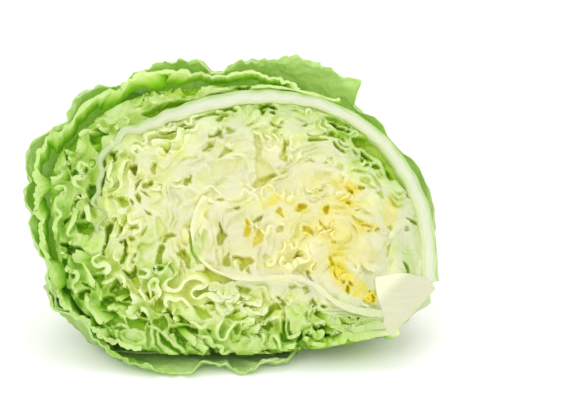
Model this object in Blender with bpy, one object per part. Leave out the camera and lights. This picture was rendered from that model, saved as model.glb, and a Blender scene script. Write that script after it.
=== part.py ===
"""Half of an iceberg lettuce, cut lengthwise through its stem, standing on its flattened underside.

The cut face has its own frame in millimetres: u to the right, v up the face and w behind it. The
leaves' cut edges are curves in that face. They grow longer than their room, so they fold, and each
fold keeps its distance from the next. Behind the face the curves shrink with the dome of the head.
The loose leaves lie over the dome, each on a great circle that starts at the stem.
"""
import math

import bmesh
import bpy
import numpy as np
from mathutils import Vector

# Driving dimensions, in millimetres and degrees
LEAN = 30.0
DOME_DEPTH = 61.0
INNER_DEPTH = 50.0
HEART_DEPTH = 30.0
# Where the cut face's own origin lies in the part's frame
FACE_TO_FLOOR = 59.4
FACE_TO_SIDE = -0.506
FACE_TO_BACK = -17.651
# Clearance between leaves, and how far the packed leaves' edges stand out of their core
GAP = 0.45
EDGE_DEPTH = 11.5
CORE_FRONT = 9.0
CORE_INSET = 0.6
BLADE = 1.15
WRAPPER_BLADE = 1.2
# Steps along a leaf's edge while it grows, and in its solid
NODE_STEP = 1.0
SOLID_STEP = 3.5
# The stem's direction in the face, and its depth behind it
STEM_DIRECTION = -26.0
STEM_TURN = 18.0
STEM_DEPTH = 15.0
SEED = 5
# The loose leaves' distance from the packed ones, and the angles where their layers start and end
DOME_GAP = 1.5
STEM_CLEAR = 12.0
LAST_ROW = 174.0
# How fast a leaf narrows towards its tip
TIP_ROUND = 16.0
# How many leaves lie under each layer where the head rests, and the packed leaves' height there
FLOOR_LEVELS = (2, 1, 0)
PACK_LOWEST = 3 * (WRAPPER_BLADE + GAP) + 0.3

# The head's outside in the cut face, from the stem's upper corner round to the left
OUTLINE = [
    (90, -31), (91, -12), (89, 4), (84, 20), (75, 31), (62, 43), (46, 54), (29, 60), (10, 61.5),
    (-14, 61), (-36, 59), (-53, 52), (-66, 44), (-75, 35), (-81, 25), (-83, 10), (-81, -8), (-77, -26),
    (-71, -38), (-62, -47), (-52, -55), (-34, -61), (-12, -62), (13, -61.5), (36, -59), (55, -56),
    (70, -52), (85, -38),
]
# The thick white leaf over the packed leaves, along its middle, and half its thickness there
BAND = [
    (88, -28), (87, -10), (84, 6), (76, 22), (64, 36), (48, 47), (30, 53), (8, 54), (-14, 50),
    (-36, 42), (-50, 36), (-57, 26), (-59, 8), (-57, -6),
]
BAND_HALF = (3.4, 3.2, 2.8, 2.4, 2.4, 2.6, 2.8, 2.8, 2.8, 2.4, 1.8, 1.2, 0.9, 0.7)
# How the band thins towards its inner edge, and the thicker room that it is given
BAND_DEPTHS = (0.0, 9.0, 18.0, 27.0, 36.0)
BAND_FADES = (1.0, 0.9, 0.7, 0.5, 0.3)
BAND_CUT_FADES = (1.0, 0.92, 0.76, 0.6, 0.42)
# The room of the packed pale leaves and of the yellow heart
INNER_ROOM = [
    (86, -24), (83, -8), (80, 6), (72, 20), (61, 32), (46, 43), (29, 49), (8, 50), (-14, 46),
    (-34, 38), (-47, 31), (-54, 20), (-56, 6), (-54, -10), (-47, -24), (-35, -38), (-14, -49),
    (8, -53), (30, -54), (52, -53), (68, -51), (80, -44),
]
HEART_ROOM = [
    (72, -24), (70, -8), (62, 5), (50, 13), (32, 17), (14, 14), (2, 4), (0, -10), (10, -20), (26, -22),
    (38, -26), (44, -33), (52, -38), (66, -40),
]
STEM_CORE = [
    (63, -26), (64, -34), (66, -40), (67, -47), (70, -52), (80, -42), (90, -31), (86, -26), (75, -24),
]

# Leaves that rise from the stem's top and bend over to the left
UPPER_LEAVES = [
    [(84, -25), (82, -8), (77, 8), (67, 23), (53, 34), (35, 42), (12, 46), (-11, 42), (-31, 35),
     (-45, 24), (-50, 8), (-46, -8)],
    [(80, -24), (77, -6), (70, 10), (56, 23), (36, 32), (14, 37), (-8, 33), (-26, 25), (-36, 11),
     (-37, -3)],
    [(76, -23), (73, -4), (64, 10), (48, 19), (28, 24), (8, 22), (-8, 14), (-12, 0)],
    [(72, -23), (67, -6), (54, 6), (36, 12), (18, 9), (7, 0), (6, -12)],
    [(68, -24), (60, -10), (48, -3), (35, -2), (24, -8)],
]
# Leaves that leave the stem's left side and turn up at the left
LOWER_LEAVES = [
    [(64, -34), (54, -33), (47, -28), (42, -20), (40, -12)],
    [(65, -42), (57, -42), (50, -40), (44, -36), (39, -31), (32, -27), (22, -26), (8, -27), (-5, -24),
     (-13, -18), (-17, -8), (-16, 2), (-12, 10)],
    [(66, -45), (55, -47), (41, -45), (26, -40), (8, -38), (-9, -35), (-22, -27), (-30, -14), (-31, 0),
     (-26, 12)],
    [(68, -48), (52, -52), (30, -52), (8, -49), (-14, -45), (-31, -37), (-42, -24), (-46, -10)],
    [(69, -50), (52, -56), (30, -58), (8, -58), (-14, -56), (-36, -49), (-53, -38), (-62, -23),
     (-66, -5)],
]
OUTER_LEAF = [
    (48, 53), (30, 59), (10, 60), (-12, 58), (-36, 53), (-53, 46), (-65, 37), (-74, 24), (-77, 8),
    (-76, -12), (-71, -30), (-60, -42), (-46, -54),
]
# Leaves between those, in the wider places
SPARE_LEAVES = [
    [(80, 8), (72, 22), (58, 34), (44, 42), (24, 47), (4, 49), (-16, 45), (-36, 37), (-49, 28),
     (-54, 14), (-53, 0)],
    [(-14, 38), (-29, 30), (-40, 19), (-44, 5), (-42, -12)],
    [(46, -41), (34, -36), (20, -33), (6, -33), (-10, -29), (-20, -20), (-24, -6), (-23, 6), (-16, 16)],
]
LEFT_LEAF = [
    (-62, 32), (-67, 22), (-70, 8), (-70, -10), (-64, -28), (-50, -44), (-30, -54), (-8, -60),
]

# Name, longitude, start, end, half width, layer, height of its middle rib
WRAPPERS = [
    ("back_leaf", 74.0, 14.0, 128.0, 46.0, 0, 1.8),
    ("crown_leaf", 128.0, 24.0, 196.0, 42.0, 1, 1.4),
    ("top_leaf", 52.0, 30.0, 152.0, 53.0, 2, 1.4),
    ("bottom_leaf", 160.0, 13.0, 134.0, 44.0, 2, 1.8),
]

LEAF_GREEN = (0.33, 0.50, 0.10)
INNER_GREEN = (0.60, 0.70, 0.30)
HEART_YELLOW = (0.80, 0.76, 0.22)
RIB_WHITE = (0.78, 0.82, 0.58)
STEM_CREAM = (0.78, 0.77, 0.56)

MM = 0.001


def clear_scene():
    for item in list(bpy.data.objects):
        bpy.data.objects.remove(item, do_unlink=True)


def collection(name):
    made = bpy.data.collections.new(name)
    bpy.context.scene.collection.children.link(made)
    return made


def finish(name, colour, roughness):
    made = bpy.data.materials.new(name)
    made.use_nodes = True
    shader = made.node_tree.nodes["Principled BSDF"]
    shader.inputs["Base Color"].default_value = (*colour, 1.0)
    shader.inputs["Roughness"].default_value = roughness
    shader.inputs["Metallic"].default_value = 0.0
    return made


# Curves in the cut face


def through(points, closed=False, fine=24):
    """A smooth curve through the points."""
    p = np.asarray(points, float)
    if closed:
        a, b, c, d = (np.roll(p, turn, axis=0) for turn in (1, 0, -1, -2))
    else:
        e = np.vstack([2 * p[0] - p[1], p, 2 * p[-1] - p[-2]])
        a, b, c, d = e[:-3], e[1:-2], e[2:-1], e[3:]
    t = (np.arange(fine) / fine)[None, :, None]
    a, b, c, d = (q[:, None, :] for q in (a, b, c, d))
    curve = 2 * b + (c - a) * t + (2 * a - 5 * b + 4 * c - d) * t * t + (3 * b - a - 3 * c + d) * t ** 3
    curve = 0.5 * curve.reshape(-1, p.shape[1])
    return curve if closed else np.vstack([curve, p[-1]])


def lengths(p):
    step = np.diff(p, axis=0)
    return np.concatenate([[0.0], np.cumsum(np.sqrt((step * step).sum(axis=1)))])


def evenly(points, count, closed=False):
    """The curve cut into even steps."""
    p = np.asarray(points, float)
    if closed:
        p = np.vstack([p, p[:1]])
    s = lengths(p)
    at = np.linspace(0, s[-1], count + 1)
    if closed:
        at = at[:-1]
    return np.column_stack([np.interp(at, s, p[:, k]) for k in range(p.shape[1])])


class Edge:
    """The cut edge of one leaf, before and after it has grown."""

    def __init__(self, group, path, growth=1.0, gap=4.2, stiff=False, bend=0.06):
        self.group = group
        self.gap = gap
        self.stiff = stiff
        self.bend = bend
        room = lengths(path)[-1]
        self.count = max(6, int(round(room * growth / NODE_STEP)))
        self.shape = evenly(path, self.count)
        self.step = room / self.count
        self.grown_step = room * growth / self.count


def waves(rng, s, shortest, longest, size):
    """A sum of six sine waves along the curve."""
    total = np.zeros_like(s)
    for _ in range(6):
        pitch = rng.uniform(shortest, longest)
        total += rng.normal() * np.sin(2 * math.pi * s / pitch + rng.uniform(0, 2 * math.pi))
    return total * size / math.sqrt(6)


def near_pairs(x, reach, edge_of):
    """Pairs of points nearer than the reach, without close neighbours on one curve."""
    order = np.argsort(x[:, 0], kind="stable")
    placed = x[order]
    left, right = [], []
    for k in range(1, len(x)):
        d = placed[k:] - placed[:-k]
        if not (d[:, 0] < reach).any():
            break
        found = np.nonzero((d * d).sum(axis=1) < reach * reach)[0]
        left.append(order[found])
        right.append(order[found + k])
    i, j = np.concatenate(left), np.concatenate(right)
    apart = (edge_of[i] != edge_of[j]) | (np.abs(i - j) > 5)
    return i[apart], j[apart]


def grow(edges, steps=560, spring=0.35, push=0.5, home=0.002):
    """Lets the curves grow until they fold, each fold pushing the next away."""
    rng = np.random.default_rng(SEED)
    x = np.vstack([edge.shape for edge in edges])
    sizes = [len(edge.shape) for edge in edges]
    starts = np.concatenate([[0], np.cumsum(sizes)])[:-1]
    edge_of = np.repeat(np.arange(len(edges)), sizes)
    fixed = np.repeat([edge.stiff for edge in edges], sizes)
    root = np.zeros(len(x), bool)
    growth = np.ones(len(x))
    for edge, a, n in zip(edges, starts, sizes):
        if edge.stiff:
            continue
        fixed[a] = True
        root[a:a + 9] = True
        s = np.arange(n) * edge.step
        along = np.gradient(x[a:a + n], axis=0)
        along /= np.sqrt((along * along).sum(axis=1))[:, None]
        side = waves(rng, s, 8.0, 22.0, 1.2) * np.minimum(1, s / 8)
        x[a:a + n] += np.column_stack([-along[:, 1], along[:, 0]]) * side[:, None]
        growth[a:a + n] = np.clip(1 + waves(rng, s, 12, 40, 0.5), 0.35, 1.8) * np.minimum(1, 0.1 + s / 14)
    homes = x.copy()
    link = np.nonzero(np.diff(edge_of) == 0)[0]
    rest = np.array([edges[e].step for e in edge_of[link]])
    gain = np.array([edges[e].grown_step - edges[e].step for e in edge_of[link]]) * growth[link]
    gaps = np.array([edge.gap for edge in edges])[edge_of]
    bends = np.array([edge.bend for edge in edges])[edge_of]
    triples = []
    for stride, share in ((1, 1.0), (2, 0.3)):
        first = np.nonzero(edge_of[:-2 * stride] == edge_of[2 * stride:])[0]
        triples.append((stride, first, (bends[first] * share)[:, None]))
    reach = gaps.max() + 1.6
    for step in range(steps):
        if step % 8 == 0:
            i, j = near_pairs(x, reach, edge_of)
            keep = ~((root[i] & fixed[j]) | (root[j] & fixed[i]))
            i, j = i[keep], j[keep]
            pair_gap = 0.5 * (gaps[i] + gaps[j])
        force = home * (homes - x)
        d = x[link + 1] - x[link]
        size = np.sqrt((d * d).sum(axis=1))
        wanted = rest + gain * min(1.0, step / (0.8 * steps))
        pull = (spring * (size - wanted) / size)[:, None] * d
        force[link] += pull
        force[link + 1] -= pull
        for stride, first, stiffness in triples:
            curl = (x[first] - 2 * x[first + stride] + x[first + 2 * stride]) * stiffness
            force[first] -= curl
            force[first + stride] += 2 * curl
            force[first + 2 * stride] -= curl
        d = x[j] - x[i]
        size = np.sqrt((d * d).sum(axis=1)) + 1e-9
        away = push * np.maximum(0, pair_gap / np.maximum(size, 0.3) - 1)
        away = (np.minimum(away, 1.5) / size)[:, None] * d
        for axis in (0, 1):
            force[:, axis] += np.bincount(j, away[:, axis], len(x)) - np.bincount(i, away[:, axis], len(x))
        force[fixed] = 0
        size = np.sqrt((force * force).sum(axis=1))
        x += force * np.minimum(1, 0.22 / np.maximum(size, 1e-9))[:, None]
    for edge, a, n in zip(edges, starts, sizes):
        shape = x[a:a + n]
        for _ in range(3):
            shape[1:-1] += 0.5 * (0.5 * (shape[:-2] + shape[2:]) - shape[1:-1])
        edge.shape = shape


def leaf_edges():
    """The cut edges of the packed leaves, grown."""
    outline = through(OUTLINE, closed=True)
    core = through(STEM_CORE, closed=True)
    edges = [
        Edge("outside", np.vstack([outline, outline[:1]]), gap=3.0, stiff=True),
        Edge("stem", np.vstack([core, core[:1]]), gap=3.0, stiff=True),
        Edge("band", through(BAND), gap=6.0, stiff=True),
    ]
    for points, growth, group in zip(
        UPPER_LEAVES, (1.6, 2.3, 2.8, 3.2, 3.2), ("inner", "inner", "inner", "heart", "heart")
    ):
        edges.append(Edge(group, through(points), growth))
    for points, growth, group in zip(
        LOWER_LEAVES, (2.8, 1.05, 2.6, 2.4, 2.0), ("heart", "inner", "inner", "inner", "outer")
    ):
        edges.append(Edge(group, through(points), growth, stiff=growth < 1.1))
    for points, growth in zip(SPARE_LEAVES, (1.35, 2.2, 1.7)):
        edges.append(Edge("inner", through(points), growth, gap=3.6))
    edges.append(Edge("outer", through(OUTER_LEAF), 1.9, gap=4.4))
    edges.append(Edge("outer", through(LEFT_LEAF), 1.8, gap=4.0))
    grow(edges)
    return edges


# Solids


def face_to_world(points):
    """Points of the cut face's frame in the part's frame."""
    lean = math.radians(LEAN)
    p = np.asarray(points, float)
    y = p[:, 1] * math.sin(lean) + p[:, 2] * math.cos(lean)
    z = p[:, 1] * math.cos(lean) - p[:, 2] * math.sin(lean)
    return np.column_stack([p[:, 0] + FACE_TO_SIDE, y + FACE_TO_BACK, z + FACE_TO_FLOOR])


def build(name, points, faces, lowest=None):
    """An object from points in the face's frame, raised to its lowest height."""
    world = face_to_world(points)
    if lowest is not None:
        world[:, 2] = np.maximum(world[:, 2], lowest)
    mesh = bpy.data.meshes.new(name)
    mesh.from_pydata([Vector(p) * MM for p in world], [], faces)
    made = bpy.data.objects.new(name, mesh)
    bpy.context.scene.collection.objects.link(made)
    work = bmesh.new()
    work.from_mesh(mesh)
    bmesh.ops.recalc_face_normals(work, faces=work.faces)
    bmesh.ops.triangulate(work, faces=work.faces)
    face_out(work)
    work.to_mesh(mesh)
    work.free()
    return made


def face_out(work):
    """Turns a closed mesh so that its faces point out."""
    if work.calc_volume(signed=True) < 0:
        bmesh.ops.reverse_faces(work, faces=work.faces)


def shrink(depth, whole):
    return math.sqrt(max(0.0, 1.0 - (min(depth, whole) / whole) ** 2)) if depth > 0 else 1.0


def dome(name, room, front, whole, grown=0.0, count=38, rows=5, lowest=None):
    """A solid that fills the room from a depth behind the face to the back of its dome."""
    ring = evenly(through(room, closed=True), count, closed=True)
    centre = ring.mean(axis=0)
    out = ring - centre
    out *= 1 + grown / np.sqrt((out * out).sum(axis=1))[:, None]
    whole = whole + grown
    start = math.asin(max(0.0, front) / whole)
    depths = [front] + [whole * math.sin(start + (math.pi / 2 - start) * k / rows) for k in range(1, rows)]
    if front < 0:
        depths.insert(1, 0.0)
    points, faces = [], []
    for depth in depths:
        flat = centre + out * shrink(depth, whole)
        points += [(u, v, depth) for u, v in flat]
    points += [(*centre, depths[0]), (*centre, whole)]
    rings = len(depths)
    for k in range(rings - 1):
        for i in range(count):
            j = (i + 1) % count
            faces.append((k * count + i, k * count + j, (k + 1) * count + j, (k + 1) * count + i))
    front_pole, back_pole = rings * count, rings * count + 1
    for i in range(count):
        j = (i + 1) % count
        faces.append((j, i, front_pole))
        faces.append(((rings - 1) * count + i, (rings - 1) * count + j, back_pole))
    return build(name, points, faces, lowest)


def strip(name, path, half, depths, whole, fades=None, lowest=None):
    """A wall that stands on a curve of the face and runs back through the depths."""
    path = np.asarray(path, float)
    along = np.gradient(path, axis=0)
    along /= np.maximum(1e-9, np.sqrt((along * along).sum(axis=1)))[:, None]
    side = np.column_stack([-along[:, 1], along[:, 0]])
    half = np.broadcast_to(half, len(path))[:, None]
    fades = fades or [1.0] * len(depths)
    n = len(path)
    points, faces = [], []
    for depth, fade in zip(depths, fades):
        small = shrink(depth, whole)
        for flat in (path + side * half * fade, path - side * half * fade):
            points += [(u * small, v * small, depth) for u, v in flat]
    rows = len(depths)

    def at(row, wall, i):
        return (2 * row + wall) * n + i

    for i in range(n - 1):
        for row in range(rows - 1):
            faces.append((at(row, 0, i), at(row, 0, i + 1), at(row + 1, 0, i + 1), at(row + 1, 0, i)))
            faces.append((at(row, 1, i + 1), at(row, 1, i), at(row + 1, 1, i), at(row + 1, 1, i + 1)))
        faces.append((at(0, 1, i), at(0, 1, i + 1), at(0, 0, i + 1), at(0, 0, i)))
        last = rows - 1
        faces.append((at(last, 0, i), at(last, 0, i + 1), at(last, 1, i + 1), at(last, 1, i)))
    for row in range(rows - 1):
        faces.append((at(row, 1, 0), at(row, 0, 0), at(row + 1, 0, 0), at(row + 1, 1, 0)))
        faces.append((at(row, 0, n - 1), at(row, 1, n - 1), at(row + 1, 1, n - 1), at(row + 1, 0, n - 1)))
    return build(name, points, faces, lowest)


def stem(name, grown=0.0):
    """The stem core: half of a short round stem, tapered towards the head."""
    turn = math.radians(STEM_DIRECTION - STEM_TURN)
    along = np.array([math.cos(turn), math.sin(turn)])
    across = np.array([-along[1], along[0]])
    corner = np.asarray(STEM_CORE, float)
    centre = corner.mean(axis=0)
    a = (corner - centre) @ along
    b = (corner - centre) @ across
    a = a + np.sign(a) * grown
    b = b + np.sign(b) * grown
    depth = STEM_DEPTH + grown
    rows = 6
    n = len(corner)
    points, faces = [], []
    for k in range(rows + 1):
        turn = 0.5 * math.pi * k / rows
        narrow = math.cos(turn) if k < rows else 0.12
        back = depth * math.sin(turn)
        inward = np.where(a < 0, a * (0.55 + 0.45 * math.cos(turn)), a)
        flat = centre + np.outer(inward, along) + np.outer(b * narrow, across)
        front = -1.0 if grown and k == 0 else back
        points += [(u, v, front) for u, v in flat]
    for k in range(rows):
        for i in range(n):
            j = (i + 1) % n
            faces.append((k * n + i, k * n + j, (k + 1) * n + j, (k + 1) * n + i))
    faces.append(tuple(reversed(range(n))))
    faces.append(tuple(rows * n + i for i in range(n)))
    return build(name, points, faces)


def joined(target, others, operation):
    """Boolean of an object with all the others, which are then removed."""
    tools = bpy.data.collections.new("tools")
    for item in others:
        tools.objects.link(item)
    cut = target.modifiers.new("join", "BOOLEAN")
    cut.operand_type = "COLLECTION"
    cut.collection = tools
    cut.operation = operation
    cut.solver = "MANIFOLD"
    seen = bpy.context.evaluated_depsgraph_get()
    mesh = bpy.data.meshes.new_from_object(target.evaluated_get(seen))
    target.modifiers.clear()
    target.data = mesh
    for item in list(tools.objects):
        bpy.data.objects.remove(item, do_unlink=True)
    bpy.data.collections.remove(tools)
    return target


def largest_body(target):
    """Keeps the largest body of an object and drops the scraps."""
    work = bmesh.new()
    work.from_mesh(target.data)
    bmesh.ops.remove_doubles(work, verts=work.verts, dist=1e-6)
    bmesh.ops.dissolve_degenerate(work, edges=work.edges, dist=2e-6)
    left = set(work.faces)
    bodies = []
    while left:
        heap = [left.pop()]
        body = list(heap)
        while heap:
            for edge in heap.pop().edges:
                for face in edge.link_faces:
                    if face in left:
                        left.remove(face)
                        heap.append(face)
                        body.append(face)
        bodies.append(body)
    bodies.sort(key=len, reverse=True)
    scraps = [face for body in bodies[1:] for face in body]
    bmesh.ops.delete(work, geom=scraps, context="FACES")
    bmesh.ops.triangulate(work, faces=work.faces)
    work.to_mesh(target.data)
    work.free()
    return target


def solid_edge(edge):
    """The curve of one leaf edge with the solid's coarser steps."""
    count = max(3, int(round(lengths(edge.shape)[-1] / SOLID_STEP)))
    return evenly(edge.shape, count)


def leaf_walls(edges, group):
    depths = (0.0, EDGE_DEPTH)
    walls = []
    for k, edge in enumerate(item for item in edges if item.group == group):
        path = solid_edge(edge)
        walls.append(strip(f"{group}_{k}", path, BLADE / 2, depths, DOME_DEPTH, lowest=PACK_LOWEST))
    return walls


def heart_leaves(edges):
    made = dome("heart_leaves", HEART_ROOM, CORE_FRONT, HEART_DEPTH, -CORE_INSET, count=36, rows=4)
    joined(made, leaf_walls(edges, "heart"), "UNION")
    joined(made, [dome("room", HEART_ROOM, -1.0, HEART_DEPTH, count=36, rows=4)], "INTERSECT")
    joined(made, [stem("cut", GAP)], "DIFFERENCE")
    return largest_body(made)


def inner_leaves(edges):
    made = dome("inner_leaves", INNER_ROOM, CORE_FRONT, INNER_DEPTH, -CORE_INSET, lowest=PACK_LOWEST)
    joined(made, leaf_walls(edges, "inner"), "UNION")
    joined(made, [dome("room", INNER_ROOM, -1.0, INNER_DEPTH, lowest=PACK_LOWEST)], "INTERSECT")
    joined(made, [dome("cut", HEART_ROOM, -1.0, HEART_DEPTH, GAP, count=36, rows=4)], "DIFFERENCE")
    joined(made, [stem("cut", GAP)], "DIFFERENCE")
    return largest_body(made)


def band_path():
    path = evenly(through(BAND), 44)
    at = np.linspace(0, len(BAND) - 1, 45)
    half = np.interp(at, np.arange(len(BAND)), BAND_HALF)
    return path, half


def band_leaf():
    path, half = band_path()
    made = strip("band_leaf", path, half, BAND_DEPTHS, DOME_DEPTH - 1.5, BAND_FADES)
    joined(made, [dome("cut", INNER_ROOM, -1.0, INNER_DEPTH, GAP, lowest=PACK_LOWEST - GAP)], "DIFFERENCE")
    joined(made, [dome("room", OUTLINE, -1.0, DOME_DEPTH, lowest=PACK_LOWEST)], "INTERSECT")
    joined(made, [stem("cut", GAP)], "DIFFERENCE")
    return largest_body(made)


def outer_leaves(edges):
    made = dome("outer_leaves", OUTLINE, CORE_FRONT, DOME_DEPTH, -CORE_INSET, lowest=PACK_LOWEST)
    joined(made, leaf_walls(edges, "outer"), "UNION")
    joined(made, [dome("room", OUTLINE, -1.0, DOME_DEPTH, lowest=PACK_LOWEST)], "INTERSECT")
    joined(made, [dome("cut", INNER_ROOM, -1.0, INNER_DEPTH, GAP, lowest=PACK_LOWEST - GAP)], "DIFFERENCE")
    path, half = band_path()
    path[0] += (path[0] - path[1]) * 0.4
    path[-1] += (path[-1] - path[-2]) * 0.4
    depths = (-1.0, *BAND_DEPTHS[1:-1], BAND_DEPTHS[-1] + GAP)
    cut = strip("cut", path, half + GAP, depths, DOME_DEPTH - 1.5, BAND_CUT_FADES)
    joined(made, [cut], "DIFFERENCE")
    joined(made, [stem("cut", GAP)], "DIFFERENCE")
    return largest_body(made)


# Loose leaves over the dome


def outline_radius(angle):
    """How far the outline is from the head's centre at an angle."""
    ring = through(OUTLINE, closed=True)
    turn = np.arctan2(ring[:, 1], ring[:, 0])
    far = np.sqrt((ring * ring).sum(axis=1))
    order = np.argsort(turn, kind="stable")
    return np.interp(angle, turn[order], far[order], period=2 * math.pi)


def on_dome(n):
    """The head's surface at places of the unit sphere."""
    flat = np.sqrt(n[:, 0] ** 2 + n[:, 1] ** 2)
    angle = np.arctan2(n[:, 1], n[:, 0])
    far = outline_radius(angle) * flat
    return np.column_stack([far * np.cos(angle), far * np.sin(angle), n[:, 2] * DOME_DEPTH])


def bumps(n, seed, count, shortest, longest):
    """A smooth random field over the unit sphere, between about -1 and 1."""
    rng = np.random.default_rng(seed)
    total = np.zeros(len(n))
    for _ in range(count):
        way = rng.normal(size=3)
        way /= math.sqrt((way * way).sum())
        pitch = rng.uniform(shortest, longest)
        phase = rng.uniform(0, 2 * math.pi)
        along = n[:, 0] * way[0] + n[:, 1] * way[1] + n[:, 2] * way[2]
        total += np.sin(2 * math.pi * along / pitch + phase)
    return np.clip(total / math.sqrt(count), -1, 1)


class Wrapper:
    """A loose leaf over the dome, on a great circle that starts at the stem."""

    def __init__(self, name, longitude, start, end, half, layer, rib):
        self.name = name
        self.start = start
        self.end = end
        self.half = half
        self.layer = layer
        self.rib = rib
        self.seed = int(longitude)
        turn = math.radians(STEM_DIRECTION)
        self.stem_way = np.array([math.cos(turn), math.sin(turn), 0.0])
        up_way = np.array([-math.sin(turn), math.cos(turn), 0.0])
        lon = math.radians(longitude)
        self.over = math.cos(lon) * up_way + math.sin(lon) * np.array([0.0, 0.0, 1.0])
        self.across = np.cross(self.stem_way, self.over)

    def spread(self, share):
        return 0.24 + 0.76 * np.sin(np.minimum(1.0, np.maximum(share, 0.0) * 1.5) * math.pi / 2) ** 1.2

    def place(self, share, x):
        """The place on the unit sphere, from the share of the length and of the half width."""
        latitude = np.radians(self.start + (self.end - TIP_ROUND * x * x - self.start) * share)
        lateral = np.radians(self.half * x * self.spread(share))
        way = np.outer(np.cos(latitude), self.stem_way) + np.outer(np.sin(latitude), self.over)
        return np.cos(lateral)[:, None] * way + np.outer(np.sin(lateral), self.across)

    def where(self, n):
        """The share of the length and of the half width at places of the unit sphere."""
        lateral = np.degrees(np.arcsin(np.clip(n @ self.across, -1, 1)))
        latitude = np.degrees(np.arctan2(n @ self.over, n @ self.stem_way))
        latitude = np.where(latitude < -60, latitude + 360, latitude)
        share = (latitude - self.start) / (self.end - self.start)
        x = lateral / (self.half * self.spread(share))
        share = (latitude - self.start) / (self.end - TIP_ROUND * np.minimum(x * x, 1) - self.start)
        return share, x

    def thickness(self, n):
        """A rib along the middle that fades towards the tip, and fainter side veins."""
        share, x = self.where(n)
        fade = np.clip(1.2 - share, 0.0, 1.0)
        middle = np.exp(-(x * self.half / (4.0 + 6.0 * fade)) ** 2)
        return WRAPPER_BLADE + self.rib * middle * fade

    def frill(self, n):
        """How far the free edge is lifted in waves."""
        share, x = self.where(n)
        out = np.maximum(np.abs(x), share)
        rise = np.clip(out - 0.5, 0, 0.5) * 4.4
        rise = rise * np.clip((1.3 - out) / 0.2, 0, 1)
        return rise * (0.5 + 0.5 * bumps(n, 7, 6, 0.22, 0.40)) * np.clip(share * 2.5, 0, 1)


def loose_waves(n):
    """How far the loose leaves lift from the dome: more at the cut and at the crown."""
    turn = math.radians(STEM_DIRECTION)
    to_stem = n[:, 0] * math.cos(turn) + n[:, 1] * math.sin(turn)
    rim = np.exp(-(np.clip(n[:, 2], 0, 1) / 0.35) ** 2)
    free = np.clip(0.75 - to_stem, 0.05, 1.0)
    return (0.5 + 0.5 * bumps(n, 3, 8, 0.28, 0.75)) * free * (1.0 + 2.6 * rim)


def layer_heights(n):
    """Height over the dome of each layer's underside and top."""
    base = DOME_GAP + loose_waves(n)
    heights = []
    for layer in range(OUTERMOST + 1):
        thick = np.full(len(n), WRAPPER_BLADE)
        lift = np.zeros(len(n))
        for wrapper in LEAVES:
            if wrapper.layer == layer:
                thick = np.maximum(thick, wrapper.thickness(n))
                lift = np.maximum(lift, wrapper.frill(n))
        heights.append((base + lift, base + lift + thick))
        base = base + lift + thick + GAP
    return heights


def layer_points(n, height, lowest):
    """Points of a layer, pressed flat where the head rests."""
    p = on_dome(n)
    far = np.sqrt((p * p).sum(axis=1))
    way = p / far[:, None]
    lean = math.radians(LEAN)
    fall = -(way[:, 1] * math.cos(lean) - way[:, 2] * math.sin(lean))
    room = np.where(fall > 0.05, (FACE_TO_FLOOR - lowest) / np.maximum(fall, 0.05), 1e6)
    return way * np.minimum(far + height, room)[:, None]


def layer_shell(layer):
    """A whole layer of loose leaf over the back of the dome, before it is cut to leaves."""
    rows, columns = 25, 20
    stem_way, up_way = LEAVES[0].stem_way, np.cross([0.0, 0.0, 1.0], LEAVES[0].stem_way)
    ns = []
    for i in range(rows + 1):
        a = math.radians(STEM_CLEAR + (LAST_ROW - STEM_CLEAR) * i / rows)
        for j in range(columns + 1):
            b = math.pi * j / columns
            side = math.cos(b) * up_way + math.sin(b) * np.array([0.0, 0.0, 1.0])
            n = math.cos(a) * stem_way + math.sin(a) * side
            ns.append((n[0], n[1], max(0.0, n[2]) if 0 < j < columns else 0.0))
    ns.append(-stem_way)
    n = np.array(ns)
    under, top = layer_heights(n)[layer]
    level = FLOOR_LEVELS[layer] * (WRAPPER_BLADE + GAP)
    points = np.vstack([layer_points(n, top, level), layer_points(n, under, level + WRAPPER_BLADE)])
    wide = columns + 1
    count = len(n)
    faces = []
    for i in range(rows):
        for j in range(columns):
            a, b, c, d = i * wide + j, i * wide + j + 1, (i + 1) * wide + j + 1, (i + 1) * wide + j
            faces += [(a, b, c), (a, c, d)]
    faces += [(rows * wide + j, rows * wide + j + 1, count - 1) for j in range(columns)]
    faces += [tuple(count + k for k in reversed(face)) for face in list(faces)]
    loop = [j for j in range(columns)] + [i * wide + columns for i in range(rows + 1)]
    loop += [count - 1] + [i * wide for i in range(rows, 0, -1)]
    for a, b in zip(loop, loop[1:] + loop[:1]):
        faces += [(b, a, count + a), (b, count + a, count + b)]
    return build(f"layer_{layer}", points, faces)


def leaf_cone(wrapper):
    """A cone from the head's centre through the torn outline of one loose leaf."""
    rng = np.random.default_rng(wrapper.seed)
    long_side = np.linspace(0.0, 1.0, 18)
    tip = np.linspace(1.0, -1.0, 15)[1:-1]
    share = np.concatenate([long_side, np.ones(len(tip)), long_side[::-1], np.zeros(2)])
    x = np.concatenate([np.ones(18), tip, -np.ones(18), [-0.4, 0.4]])
    torn = rng.uniform(-1, 1, len(x))
    x = x * (1 + 0.07 * torn * (share > 0.2) * (np.abs(x) > 0.9))
    share = share + 0.035 * torn * (np.abs(x) < 0.93) * (share > 0.5)
    ring = on_dome(wrapper.place(share, x))
    middle = on_dome(wrapper.place(np.array([0.5]), np.array([0.0])))
    count = len(ring)
    points = np.vstack([ring * 2.2, ring * 0.3, middle * 2.2, middle * 0.3])
    faces = []
    for i in range(count):
        j = (i + 1) % count
        faces += [(i, j, count + j, count + i), (j, i, 2 * count), (count + i, count + j, 2 * count + 1)]
    return build("cone", points, faces)


def wrapper_leaf(wrapper):
    """One loose leaf: a thin shell with ribs, waves and a torn edge, cut at the face."""
    made = layer_shell(wrapper.layer)
    made.name = wrapper.name
    joined(made, [leaf_cone(wrapper)], "INTERSECT")
    joined(made, [stem("cut", GAP)], "DIFFERENCE")
    return largest_body(made)


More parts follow.
